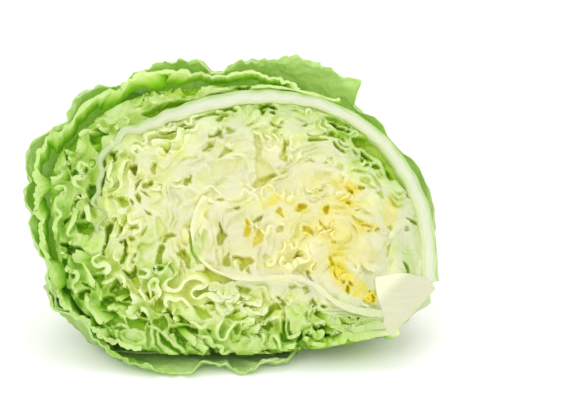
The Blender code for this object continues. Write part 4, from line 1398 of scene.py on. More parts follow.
@dataclass(frozen=True)
class Surface:
    """How a leaf takes the light: how matt it is, the share that it lets through, how wet it
    looks and how matt its wet film is."""

    roughness: float
    passes: float
    wet: float
    film: float = 0.25


class Nodes:
    """A material's nodes, added one after the other."""

    def __init__(self, name: str) -> None:
        """Starts a material with nothing but its output.

        Args:
            name: the material's name.
        """
        self.material = bpy.data.materials.new(name)
        self.material.use_nodes = True
        self.tree = self.material.node_tree
        self.tree.nodes.clear()
        self.output = self.tree.nodes.new("ShaderNodeOutputMaterial")
        self.place = self.tree.nodes.new("ShaderNodeTexCoord").outputs["Object"]

    def put(self, target: Socket, value: Value) -> None:
        """Links a socket or sets a plain value.

        Args:
            target: the input.
            value: an output socket, a number or a colour.
        """
        if isinstance(value, Socket):
            self.tree.links.new(value, target)
        elif target.type == "RGBA":
            target.default_value = (*value, 1.0)
        else:
            target.default_value = value

    def add(self, kind: str, inputs: dict[str | int, Value], **settings: str | bool) -> bpy.types.Node:
        """Adds a node.

        Args:
            kind: the last part of its type.
            inputs: sockets or plain values for its inputs, by name or by number.
            settings: its own settings, by name.

        Returns:
            The node.
        """
        node = self.tree.nodes.new("ShaderNode" + kind)
        for name, value in settings.items():
            setattr(node, name, value)
        for key, value in inputs.items():
            self.put(node.inputs[key], value)
        return node

    def attribute(self, name: str) -> Socket:
        """The piece's own value of that name."""
        return self.add("Attribute", {}, attribute_name=name).outputs["Fac"]

    def noise(self, scale: float, detail: float = 3.0, rough: float = 0.5) -> Socket:
        """A noise over the object, with its scale in waves to a metre."""
        inputs = {"Scale": scale, "Detail": detail, "Roughness": rough, "Vector": self.place}
        return self.add("TexNoise", inputs).outputs["Fac"]

    def maths(self, operation: str, *values: Value, clamp: bool = False) -> Socket:
        """The result of a sum, kept between 0 and 1 if clamp says so."""
        return self.add("Math", dict(enumerate(values)), operation=operation, use_clamp=clamp).outputs[0]

    def times(self, first: Value, second: Value) -> Socket:
        """The product of two values."""
        return self.maths("MULTIPLY", first, second)

    def plus(self, first: Value, second: Value) -> Socket:
        """The sum of two values."""
        return self.maths("ADD", first, second)

    def scaled(self, value: Value, factor: float, more: Value) -> Socket:
        """A value times a factor, and some more."""
        return self.maths("MULTIPLY_ADD", value, factor, more)

    def between(self, value: Value, low: float, high: float) -> Socket:
        """A value's share of the way from low to high, smooth at both ends."""
        inputs = {"Value": value, "From Min": low, "From Max": high}
        return self.add("MapRange", inputs, interpolation_type="SMOOTHSTEP").outputs["Result"]

    def ramp(self, value: Value, stops: Stops) -> Socket:
        """A colour for a value.

        Args:
            value: the value.
            stops: places from 0 to 1 with their colours.

        Returns:
            The colour's socket.
        """
        node = self.add("ValToRGB", {"Fac": value})
        marks = node.color_ramp.elements
        marks[0].position, marks[0].color = stops[0][0], (*stops[0][1], 1.0)
        marks[1].position, marks[1].color = stops[-1][0], (*stops[-1][1], 1.0)
        for place, colour in stops[1:-1]:
            marks.new(place).color = (*colour, 1.0)
        return node.outputs["Color"]

    def mix(self, share: Value, first: Value, second: Value) -> Socket:
        """A blend of two colours.

        Args:
            share: how much of the second colour it holds, from 0 to 1.
            first: the first colour.
            second: the second colour.

        Returns:
            The blend's socket.
        """
        factor, colour_a, colour_b, result = 0, 6, 7, 2
        inputs = {factor: share, colour_a: first, colour_b: second}
        return self.add("Mix", inputs, data_type="RGBA").outputs[result]

    def bump(self, height: Value, depth: float, strength: float, over: Socket | None = None) -> Socket:
        """A raised pattern.

        Args:
            height: its height, from 0 to 1.
            depth: how high 1 is, in metres.
            strength: how strongly it shows.
            over: another raised pattern that it lies on.

        Returns:
            The normal's socket.
        """
        inputs = {"Strength": strength, "Distance": depth, "Height": height}
        if over is not None:
            inputs["Normal"] = over
        return self.add("Bump", inputs).outputs["Normal"]

    def leaf(self, colour: Value, glow: Value, normal: Socket, skin: Surface) -> bpy.types.Material:
        """Ends the material in a moist surface that also lets some light through.

        Args:
            colour: the surface's colour.
            glow: the colour of the light that comes through.
            normal: the raised pattern.
            skin: how matt, wet and thin the surface is.

        Returns:
            The finished material.
        """
        inputs = {
            "Base Color": colour, "Roughness": skin.roughness, "Coat Weight": skin.wet,
            "Coat Roughness": skin.film, "Normal": normal,
        }
        surface = self.add("BsdfPrincipled", inputs).outputs[0]
        light = self.add("BsdfTranslucent", {"Color": glow, "Normal": normal}).outputs[0]
        blend = self.add("MixShader", {0: skin.passes, 1: surface, 2: light}).outputs[0]
        self.put(self.output.inputs["Surface"], blend)
        return self.material


@dataclass(frozen=True)
class PackedFinish:
    """Crisp leaves seen from their cut edge: yellow in the heart, cream, pale green and green outside.

    The value "age" runs from 0 in the heart to 1 at the outside, and "deep" from 0 at the cut to 1.
    Deeper behind the cut the colour turns greener, more saturated and darker: painted shade between the
    leaves.
    """

    name: str
    cut: Stops = shades(
        AGES, (255, 252, 200), (254, 253, 216), (246, 253, 208), (228, 246, 168), (214, 241, 148)
    )
    # side and deep are painted shade: greener, more saturated and darker colour deeper behind the cut, for
    # the shade between the leaves and the light passed through them; side is partly the leaf surface's own
    # colour
    side: Stops = shades(
        AGES, (255, 252, 160), (252, 253, 176), (242, 253, 160), (212, 240, 122), (196, 234, 104)
    )
    deep: Stops = shades(
        AGES, (255, 246, 104), (246, 250, 112), (224, 248, 84), (178, 234, 52), (160, 224, 44)
    )
    # Partly the pale colour of thin leaf edges, partly painted highlight on the crests of the streaks
    pale_edge_and_highlight: Rgb = srgb(248, 250, 220)
    rib: Rgb = srgb(240, 241, 208)
    lime: Rgb = srgb(182, 224, 40)
    vivid: Rgb = srgb(255, 240, 58)
    glow: Rgb = srgb(250, 250, 160)
    surface: Surface = Surface(0.42, 0.38, 0.12)

    def build(self) -> bpy.types.Material:
        """Makes the material.

        Returns:
            The finished material.
        """
        nodes = Nodes(self.name)
        mottle = nodes.scaled(nodes.noise(110, 3), 0.3, -0.15)
        age = nodes.maths("ADD", nodes.attribute("age"), mottle, clamp=True)
        depth = nodes.attribute("deep")
        lower = nodes.plus(depth, nodes.scaled(nodes.noise(260, 2), 0.2, -0.1))
        upper = nodes.maths("SUBTRACT", 1.0, depth)
        soft = nodes.maths("MULTIPLY", nodes.attribute("soft"), upper, clamp=True)
        streak = self.streaks(nodes)
        deep = nodes.ramp(age, self.deep)
        cut, side = nodes.ramp(age, self.cut), nodes.ramp(age, self.side)
        # Painted shade: the cut colour gives way to the side and then the deep ramp as the depth behind the
        # cut grows
        colour = nodes.mix(nodes.between(lower, 0.02, 0.2), cut, side)
        colour = nodes.mix(nodes.between(lower, 0.16, 0.55), colour, deep)
        # Painted shade: the grooves of the streaks take the deep colour
        painted_groove_shade = nodes.times(nodes.between(streak, 0.5, 0.68), soft)
        colour = nodes.mix(nodes.times(painted_groove_shade, 0.34), colour, deep)
        # The crests of the streaks are lighter: partly the pale cut edges of thin leaves, partly painted
        # highlight
        pale_edge_and_highlight = nodes.times(nodes.between(streak, 0.46, 0.3), soft)
        colour = nodes.mix(nodes.times(pale_edge_and_highlight, 0.3), colour, self.pale_edge_and_highlight)
        rib = nodes.times(nodes.between(nodes.attribute("rib"), 0.1, 0.9), nodes.between(depth, 0.5, 0.1))
        colour = nodes.mix(nodes.times(rib, 0.7), colour, self.rib)
        # Painted shade: the lime and vivid patches grow stronger deeper behind the cut and in the streaks'
        # grooves
        painted_shade_share = nodes.scaled(nodes.between(lower, 0.03, 0.25), 0.5, nodes.times(painted_groove_shade, 0.6))
        for name, shade, least in (("lime", self.lime, 0.3), ("vivid", self.vivid, 0.56)):
            share = nodes.plus(painted_shade_share, least)
            share = nodes.maths("MULTIPLY", nodes.attribute(name), share, clamp=True)
            colour = nodes.mix(share, colour, shade)
        folds = nodes.bump(streak, 0.0011, 0.7)
        blisters = nodes.bump(nodes.noise(420, 2), 0.0006, 0.4, folds)
        grain = nodes.bump(nodes.noise(1700, 3), 0.00012, 0.4, blisters)
        return nodes.leaf(colour, nodes.mix(0.2, colour, self.glow), grain, self.surface)

    def streaks(self, nodes: Nodes) -> Socket:
        """Draws fine lines along the layers of leaves.

        Args:
            nodes: the material's nodes.

        Returns:
            The lines, from 0 to 1.
        """
        flow = nodes.add("CombineXYZ", {0: nodes.times(nodes.attribute("flow"), 1.15)}).outputs[0]
        inputs = {0: nodes.place, 1: (110.0, 110.0, 110.0), 2: flow}
        lay = nodes.add("VectorMath", inputs, operation="MULTIPLY_ADD").outputs[0]
        inputs = {"Scale": 0.5, "Detail": 3.0, "Distortion": 0.4, "Vector": lay}
        return nodes.add("TexNoise", inputs).outputs["Fac"]


@dataclass(frozen=True)
class RibFinish:
    """The thick white rib: fibres along it, greener towards its outer side."""

    name: str
    across: Stops = shades(
        (0.0, 0.3, 0.62, 0.85, 1.0),
        (218, 230, 168), (236, 240, 214), (230, 238, 206), (206, 226, 164), (180, 212, 120),
    )
    # Painted shade: the rib turns this darker green deeper behind the cut, in among the leaves
    deep: Rgb = srgb(176, 210, 104)
    blade: Rgb = srgb(196, 220, 140)
    glow: Rgb = srgb(226, 240, 170)
    surface: Surface = Surface(0.36, 0.18, 0.15)

    def build(self) -> bpy.types.Material:
        """Makes the material.

        Returns:
            The finished material.
        """
        nodes = Nodes(self.name)
        scales = {"along": 0.05, "outer": 5.0, "deep": 4.0}
        parts = [nodes.times(nodes.attribute(name), scale) for name, scale in scales.items()]
        lay = nodes.add("CombineXYZ", dict(enumerate(parts))).outputs[0]
        fibre = nodes.add("TexNoise", {"Scale": 3.2, "Detail": 4.0, "Vector": lay}).outputs["Fac"]
        outer = nodes.plus(nodes.attribute("outer"), nodes.scaled(fibre, 0.9, -0.45))
        colour = nodes.ramp(outer, self.across)
        # Painted shade: darker green deeper behind the cut
        colour = nodes.mix(nodes.between(nodes.attribute("deep"), 0.05, 0.8), colour, self.deep)
        colour = nodes.mix(nodes.times(nodes.attribute("blade"), 0.8), colour, self.blade)
        grain = nodes.bump(nodes.noise(1500, 3), 0.0001, 0.4, nodes.bump(fibre, 0.0011, 0.6))
        return nodes.leaf(colour, self.glow, grain, self.surface)


@dataclass(frozen=True)
class StemFinish:
    """The cut stem: cream, smooth and moist, with fine fibres along it."""

    name: str
    fibre: Stops = shades((0.25, 0.5, 0.8), (203, 204, 168), (208, 209, 176), (214, 215, 184))
    clouds: Rgb = srgb(214, 212, 164)
    inner: Rgb = srgb(242, 240, 204)
    foot: Rgb = srgb(212, 210, 168)
    glow: Rgb = srgb(236, 236, 176)
    surface: Surface = Surface(0.38, 0.08, 0.2)

    def build(self) -> bpy.types.Material:
        """Makes the material.

        Returns:
            The finished material.
        """
        nodes = Nodes(self.name)
        turn = math.radians(STEM_TURN - STEM_DIRECTION)
        inputs = {"Vector": nodes.place, "Rotation": (0.0, turn, 0.0), "Scale": (0.16, 1.0, 1.0)}
        lay = nodes.add("Mapping", inputs).outputs[0]
        fibre = nodes.add("TexNoise", {"Scale": 420.0, "Detail": 3.0, "Vector": lay}).outputs["Fac"]
        colour = nodes.ramp(fibre, self.fibre)
        colour = nodes.mix(nodes.between(nodes.noise(70, 2), 0.45, 0.75), colour, self.clouds)
        foot = nodes.attribute("foot")
        colour = nodes.mix(nodes.times(nodes.between(foot, -0.35, -1.0), 0.8), colour, self.inner)
        colour = nodes.mix(nodes.times(nodes.between(foot, 0.55, 1.0), 0.4), colour, self.foot)
        return nodes.leaf(colour, self.glow, nodes.bump(fibre, 0.0002, 0.4), self.surface)


@dataclass(frozen=True)
class BladeFinish:
    """A loose outer leaf: green blistered blade, pale veins and a broad white rib.

    The values "vein" and "rib" are 1 on a vein and on the rib, "tone" is lighter or darker green.
    """

    name: str
    dark: Rgb = srgb(146, 200, 62)
    middle: Rgb = srgb(190, 226, 112)
    light: Rgb = srgb(220, 240, 172)
    vein: Rgb = srgb(224, 238, 186)
    rib: Rgb = srgb(232, 238, 208)
    glow: Rgb = srgb(190, 230, 70)
    surface: Surface = Surface(0.44, 0.46, 0.1)

    def build(self) -> bpy.types.Material:
        """Makes the material.

        Returns:
            The finished material.
        """
        nodes = Nodes(self.name)
        tone = nodes.plus(nodes.attribute("tone"), nodes.scaled(nodes.noise(60, 4, 0.55), 0.9, -0.45))
        colour = nodes.ramp(tone, ((0.0, self.dark), (0.5, self.middle), (1.0, self.light)))
        spots = nodes.times(nodes.between(nodes.noise(480, 3), 0.35, 0.7), 0.22)
        colour = nodes.mix(spots, colour, self.light)
        colour = nodes.mix(nodes.times(nodes.attribute("vein"), 0.85), colour, self.vein)
        colour = nodes.mix(nodes.attribute("rib"), colour, self.rib)
        grain = nodes.bump(nodes.noise(1500, 3), 0.00012, 0.5, nodes.bump(nodes.noise(220, 3), 0.0016, 0.7))
        return nodes.leaf(colour, nodes.mix(0.3, colour, self.glow), grain, self.surface)


Finish = PackedFinish | RibFinish | StemFinish | BladeFinish


# The leaves in the cut face


@dataclass
class LeanField:
    """How the sheets between the leaves lean as they run back from the cut."""

    slope: float = 1.15
    inward: float = 0.25
    reach: float = 7.0
    right: Field = field(default_factory=lambda: Field(31, 9, 15, 38))
    up: Field = field(default_factory=lambda: Field(32, 9, 15, 38))

    def shift(self, start: Array, depth: Array) -> Array:
        """The shift along u and v of points behind the face.

        Args:
            start: where each point's column starts in the face.
            depth: how far behind the face the point is.

        Returns:
            Two shifts for each point.
        """
        far = norms(start)
        rim = far / outline_radius(angles(start))
        lean = self.slope * np.column_stack([self.right.at(start), self.up.at(start)])
        out = (lean * start).sum(axis=1) / np.maximum(far, 1e-6)
        way = start / np.maximum(far, 1e-6)[:, None]
        lean -= way * (np.maximum(out, 0) * unit((rim - 0.8) / 0.15))[:, None]
        lean -= way * (self.inward * unit((rim - 0.3) / 0.5))[:, None]
        run = self.reach * (1 - np.exp(-np.maximum(depth, 0) / self.reach))
        return lean * run[:, None]


@dataclass
class CutFace:
    """The whole cut face: its folded edges and the hollows that are left between them."""

    lean: LeanField = field(default_factory=LeanField)
    step: float = 0.5
    shallow: float = 1.6
    slant: float = 1.05
    deepest: float = 9.6
    lip_height: float = 2.8
    rim_fall: float = 9.0
    rim_end: float = 0.965
    right_end: float = 0.93
    hollow_margin: float = 1.6
    dug_share: float = 0.85
    heart_less: float = 0.2

    def __post_init__(self) -> None:
        """Folds the edges and finds how deep the face lies on a grid."""
        self.folds = folded_edges()
        self.u = np.arange(-92.0, 94.0, self.step)
        self.v = np.arange(-66.0, 66.0, self.step)
        self.grid = np.array([(u, v) for v in self.v for u in self.u])
        self.rim = rim_share(self.grid)
        smooth = patches(self.grid, SMOOTH) * unit(1.05 + 0.45 * Field(46, 9, 8, 24).at(self.grid))
        depth = self.relief(self.room(), smooth)
        cleared = self.hollows(depth)
        depth = np.clip(depth, 0.1, self.deepest).reshape(len(self.v), len(self.u))
        near = depth[:-2, 1:-1] + depth[2:, 1:-1] + depth[1:-1, :-2] + depth[1:-1, 2:]
        depth[1:-1, 1:-1] = 0.7 * depth[1:-1, 1:-1] + 0.075 * near
        self.depth = depth
        self.sunk = np.maximum(unit(smooth * 2.2 - 0.9), cleared).reshape(depth.shape)

    def room(self) -> Array:
        """Measures the free room of the grid.

        Returns:
            How far each of its points is from the nearest leaf wall.
        """
        walls = [fold.path + self.lean.shift(fold.path, np.full(len(fold.path), 2.0)) for fold in self.folds]
        walls.append(evenly(through(BAND), 400))
        walls.append(evenly(through(STEM_CORE, closed=True), 160, closed=True))
        points = np.vstack(walls)
        tree = KDTree(len(points))
        for index, (u, v) in enumerate(points):
            tree.insert((u, v, 0.0), index)
        tree.balance()
        return np.array([tree.find((u, v, 0.0))[2] for u, v in self.grid])

    def relief(self, free: Array, smooth: Array) -> Array:
        """Finds how deep the face lies without its hollows.

        Args:
            free: how far each point of the grid is from the nearest leaf wall.
            smooth: how much of a closed, fleshy place each point is.

        Returns:
            The depth at each point.
        """
        grid = self.grid
        crisp = (self.shallow + self.slant * free) * (0.62 + 0.38 * looseness(grid))
        crisp = crisp + 0.35 * Field(45, 9, 4, 9).at(grid)
        low = unit((free - 0.3) / 1.9)
        flesh = 0.85 + 0.75 * Field(47, 9, 8, 22).at(grid)
        flesh = flesh + (0.6 + 0.5 * Field(48, 9, 12, 30).at(grid)) * eased(low)
        part = layer_lines(grid) % 1.0
        lips = np.clip(0.55 + 0.75 * Field(52, 9, 8, 20).at(grid), 0, 1.2) * (1 - 0.8 * patches(grid, PALE))
        flesh = np.maximum(0.15, 0.5 * flesh + self.lip_height * lips * part ** 1.8 * unit((1 - part) / 0.1))
        depth = flesh + (crisp - flesh) * (1 - smooth)
        return depth + self.rim_fall * unit((self.rim - 0.94) / 0.04) * (1 - smooth)

    def hollows(self, depth: Array) -> Array:
        """Digs the hollows between the leaves.

        Args:
            depth: how deep the face lies at each point of the grid, changed in place.

        Returns:
            How far each point is inside a hollow, from 0 to 1.
        """
        cleared = np.zeros(len(depth))
        bent = np.column_stack([Field(seed, 9, 5, 11).at(self.grid) for seed in (53, 54)]) * 0.5 + self.grid
        for numbers in HOLLOWS:
            ring = np.array(numbers[1:]).reshape(-1, 2) * PACE
            low, high = ring.min(axis=0), ring.max(axis=0)
            near = (self.grid > low - self.hollow_margin) & (self.grid < high + self.hollow_margin)
            found = np.nonzero(near.all(axis=1))[0]
            share, lip = hollow_share(bent[found], ring)
            rise = (self.grid[found, 1] - low[1]) / max(1.0, high[1] - low[1])
            yellow = math.exp(-((ring[0, 0] - 42) / 40) ** 2 - ((ring[0, 1] + 2) / 30) ** 2)
            dug = numbers[0] * (self.dug_share - self.heart_less * yellow)
            depth[found] *= 1 - 0.55 * lip * (cleared[found] < 0.3)
            depth[found] += share * np.maximum(0, dug * (0.7 + 0.5 * rise) - 0.3 * depth[found])
            cleared[found] = np.maximum(cleared[found], share)
        return unit(cleared * 1.6)

    def read(self, values: Array, p: Array) -> Array:
        """Reads a value of the grid.

        Args:
            values: the grid's values.
            p: points of the face.

        Returns:
            The value at each point.
        """
        x = np.clip((p[:, 0] - self.u[0]) / self.step, 0, len(self.u) - 1.001)
        y = np.clip((p[:, 1] - self.v[0]) / self.step, 0, len(self.v) - 1.001)
        i, j = x.astype(int), y.astype(int)
        x, y = x - i, y - j
        first = values[j, i] * (1 - x) + values[j, i + 1] * x
        return first * (1 - y) + (values[j + 1, i] * (1 - x) + values[j + 1, i + 1] * x) * y

    def webs(self, room: list[Pair], hollow: list[Pair] | None) -> tuple[Array, list[Array], Array]:
        """The leaf walls between the edges in one room of the face, as one closed slab.

        Args:
            room: the room's outline.
            hollow: a room inside it that is left out.

        Returns:
            The slab's points, its quads and how far each point is behind the cut.
        """
        keep = inside(self.grid, through(room, closed=True)) & (self.rim < self.rim_end)
        if hollow:
            keep &= ~inside(self.grid, through(hollow, closed=True))
        right = (self.grid[:, 0] > 66) & (np.arctan2(self.grid[:, 1], self.grid[:, 0]) < 0.5)
        keep &= ~(right & (self.rim > self.right_end))
        place = np.column_stack([self.grid, self.depth.ravel()])
        keep &= face_to_world(place)[:, 2] > (PACK_LOWEST + 0.5) * MM
        rows, columns = self.depth.shape
        quads = grid_faces(rows, columns, turned=True)
        quads = quads[keep[quads[:, 0]]]
        used, numbered = np.unique(quads, return_inverse=True)
        quads = numbered.reshape(-1, 4)
        count = len(used)
        cells = np.zeros((rows, columns + 1), int)
        cells[:-1, 1:-1] = keep.reshape(rows, columns)[1:, :-1]
        first, last = (np.argwhere(np.diff(cells, axis=1) == sign) @ (columns, 1) for sign in (1, -1))
        strips = np.column_stack([first, last, last + columns, first + columns])
        strips = np.searchsorted(used, strips) + count
        rest = np.vstack([open_sides([quads], count), strips])
        low = np.unique(rest[rest >= count])
        rest = np.where(rest >= count, count + np.searchsorted(low, rest), rest)
        depth = self.depth.ravel()[used]
        top = np.column_stack([self.grid[used], depth])
        floor = np.column_stack([self.grid[used][low - count] * 0.995, np.full(len(low), WEB_FLOOR)])
        return np.vstack([top, floor]), [quads, rest], np.concatenate([depth, floor[:, 2]])


@dataclass(frozen=True)
class Core:
    """The dome behind one group's sheets, and the smaller dome that it leaves free."""

    room: list[Pair]
    depth: float
    front: float
    hollow: list[Pair] | None = None
    hollow_depth: float = 0.0


@dataclass
class PackedLeaves:
    """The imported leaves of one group: folded sheets that stand on a core behind them."""

    name: str
    node: str
    group: Group
    finish: PackedFinish
    blade: float = 1.1
    root: float = 3.9
    root_run: float = 24.0
    depth_rows: tuple[float, ...] = (0.0, 0.06, 0.2, 0.45, 1.0)
    sunk: float = 2.0
    proud: float = 0.0
    furthest_back: float = 7.2
    lowest: float = PACK_LOWEST + 0.9

    def half_thickness(self, fold: Fold, front: Array, rng: np.random.Generator) -> Array:
        """Half the thickness along a fold: thick at the stem, thinner where it bends sharply.

        Args:
            fold: the folded edge.
            front: how far its edge stands behind the cut.
            rng: the seeded source of its small changes.

        Returns:
            Half the thickness at each point of the fold.
        """
        s = lengths(fold.path)
        half = 0.5 * self.blade * (0.72 + 0.38 * looseness(fold.path))
        half = half * np.clip(1 + waves(rng, s, 7, 30, 0.45), 0.55, 2.1)
        if fold.arc:
            half = 0.5 * (0.8 + 3.0 * np.exp(-s / 38)) * np.clip(1 + waves(rng, s, 5, 20, 0.35), 0.5, 1.5)
        elif fold.rooted:
            half = half + 0.5 * (self.root - self.blade) * np.exp(-s / self.root_run)
        half *= 1 - 0.35 * unit(np.abs(front) / 1.5)
        bend = np.gradient(np.gradient(fold.path, axis=0), axis=0) / FINE_STEP ** 2
        radius = 1 / np.maximum(1e-3, norms(bend))
        half = np.minimum(half, np.maximum(0.3, 0.85 * radius))
        return averaged(half, 2)

    def ages(self, p: Array) -> Array:
        """How far from the heart's yellow towards the outside's green each point is.

        Args:
            p: points of the face.

        Returns:
            Ages from 0 to 1.
        """
        far = rim_share(p)
        heart = np.exp(-((p[:, 0] - 42) / 36) ** 2 - ((p[:, 1] + 6) / 26) ** 2)
        low = unit((-p[:, 1] - 18) / 45)
        left = unit((-p[:, 0] - 40) / 34)
        age = 0.27 + 0.5 * unit((far - 0.5) / 0.42) ** 1.3 + 0.12 * low + 0.22 * left - 0.36 * heart
        return unit(age)

    def tints(self, p: Array, deep: Array, soft: float) -> dict[str, Array]:
        """The values that the finish reads.

        Args:
            p: places in the face.
            deep: how deep behind the cut each lies, from 0 to 1.
            soft: 1 for flesh between the edges, 0 for an edge.

        Returns:
            One number for each place, by name.
        """
        pale = patches(p, PALE)
        return {
            "age": self.ages(p), "deep": deep, "rib": pale * 0.8, "vivid": patches(p, VIVID),
            "lime": patches(p, LIME), "soft": np.full(len(p), soft), "flow": 5.4 * layer_lines(p),
        }

    def runs(self, seen: Array) -> list[slice]:
        """The stretches of a fold that can be seen, each a little longer than that.

        Args:
            seen: one truth value for each point of the fold.

        Returns:
            The stretches.
        """
        wide = np.convolve(seen, np.ones(7), mode="same") > 0.5
        turns = np.nonzero(np.diff(np.concatenate([[0], wide.astype(int), [0]])))[0]
        return [slice(a, b) for a, b in zip(turns[::2], turns[1::2]) if b - a > 9]

    def ahead(
        self, fold: Fold, s: Array, face: CutFace, rng: np.random.Generator
    ) -> tuple[Array, Array]:
        """How far a fold's edge stands behind the cut.

        Args:
            fold: the folded edge.
            s: length along it.
            face: the whole cut face.
            rng: the seeded source of its small changes.

        Returns:
            The distance at each point, and how much of it is cut back with the face.
        """
        wave = waves(rng, s, 9, 30, 1.0) + rng.uniform(-0.4, 0.2)
        front = np.where(wave > 0.35, (wave - 0.35) * self.sunk, 0.0)
        front = averaged(front + np.where(wave < -0.2, (wave + 0.2) * self.proud, 0.0), 3)
        if fold.rooted:
            front *= unit((s - 10) / 14)
        if fold.arc:
            front *= 0
        sunk = face.read(face.sunk, fold.path) * float(not (fold.arc or fold.loose))
        floor = np.minimum(self.furthest_back, face.read(face.depth, fold.path) + 0.5)
        return front + sunk * (floor - front), sunk

    def sheets(self, skin: Skin, face: CutFace) -> None:
        """Adds the sheet behind each fold of this group.

        Args:
            skin: what the sheets are added to.
            face: the whole cut face.
        """
        rng = np.random.default_rng(len(self.name))
        rows = len(self.depth_rows)
        share = np.array(self.depth_rows)[:, None]
        taper = np.interp(share, (0.0, 0.3, 1.0), (1.0, 0.85, 0.6))
        for number, fold in enumerate(item for item in face.folds if item.group is self.group):
            s = lengths(fold.path)
            front, sunk = self.ahead(fold, s, face, rng)
            half = self.half_thickness(fold, front * (1 - sunk), rng)
            rib = np.exp(-s / 22) if fold.rooted else 0 * s
            if fold.arc:
                rib = 0.4 + 0.6 * np.exp(-s / 60)
            for run in self.runs(sunk < 0.97):
                path, start = fold.path[run], front[None, run]
                depth = start + share * (SHEET_DEPTH - start)
                centre = np.concatenate([path[None] * shrink(depth)[:, :, None], depth[:, :, None]], axis=2)
                shift = face.lean.shift(np.tile(path, (rows, 1)), (depth - start).ravel())
                centre[:, :, :2] += shift.reshape(rows, -1, 2)
                centre[0, :, 2] += 0.04 * (number % 5)
                press(centre.reshape(-1, 3), self.lowest)
                points, faces = sheet(centre, half[None, run] * taper)
                # Depth behind the cut, which picks the painted shade of the finish
                deep = np.tile(np.maximum(0, depth).ravel() / WEB_FLOOR, 2)
                values = self.tints(np.tile(path, (2 * rows, 1)), deep, 0.7 * (fold.arc or fold.rooted))
                values["rib"] = np.maximum(values["rib"], np.tile(rib[run], 2 * rows))
                skin.add(points, faces, **values)

    def core(self, skin: Skin) -> None:
        """Adds the core behind the sheets: a dome, hollowed where another group's core stands.

        Args:
            skin: what the core is added to.
        """
        core = CORES[self.group]
        seen = self.group is Group.OUTER
        columns, crown = 160, math.pi / 2 - 0.02
        ring = evenly(through(core.room, closed=True), columns, closed=True)
        middle = ring.mean(axis=0)
        out = ring - middle
        out *= 1 - 0.8 / norms(out)[:, None]
        way_out = out / norms(out)[:, None]
        rings = []
        for turn in np.linspace(crown, math.asin(core.front / core.depth), 40):
            way = np.column_stack([way_out * math.cos(turn), np.full(columns, math.sin(turn))])
            near = 1 - (0.008 + 0.008 * bumps(way, 55, 10, 0.1, 0.28)) * seen
            flat = middle + out * (near * math.cos(turn))[:, None]
            rings.append(np.column_stack([flat, core.depth * near * math.sin(turn)]))
        if core.hollow:
            pit = evenly(through(core.hollow, closed=True), columns, closed=True)
            middle = pit.mean(axis=0)
            for turn in np.linspace(math.asin(core.front / core.hollow_depth), crown, 12):
                deep = np.full(columns, core.hollow_depth * math.sin(turn))
                rings.append(np.column_stack([middle + (pit - middle) * math.cos(turn), deep]))
        else:
            rings.append(np.column_stack([middle + out * 0.01, np.full(columns, core.front)]))
        points, faces = lantern(np.array(rings))
        # A core that lies behind the sheets gets the full deep colour, painted shade; the outer core that can
        # be seen gets less
        values = self.tints(points[:, :2], np.full(len(points), 0.2 if seen else 1.0), float(seen))
        values["age"] = self.ages(points[:, :2] / np.maximum(0.2, shrink(points[:, 2]))[:, None])
        skin.add(points, faces, **values)

    def build(self, face: CutFace) -> bpy.types.Object:
        """Builds the leaves and dresses them.

        Args:
            face: the whole cut face.

        Returns:
            The finished piece.
        """
        skin = Skin()
        self.sheets(skin, face)
        self.core(skin)
        core = CORES[self.group]
        points, faces, depth = face.webs(core.room, core.hollow)
        # The webs' floor gets the full deep colour, painted shade behind the leaf walls
        skin.add(points, faces, **self.tints(points[:, :2], depth / WEB_FLOOR, 1.0))
        return skin.build(self.name, self.finish, PACK_LOWEST)


CORES = {
    Group.HEART: Core(HEART_ROOM, HEART_DEPTH, 9.0),
    Group.INNER: Core(INNER_ROOM, INNER_DEPTH, 9.4, HEART_ROOM, HEART_DEPTH + GAP),
    Group.OUTER: Core(OUTLINE, DOME_DEPTH, 9.8, INNER_ROOM, INNER_DEPTH + GAP),
}


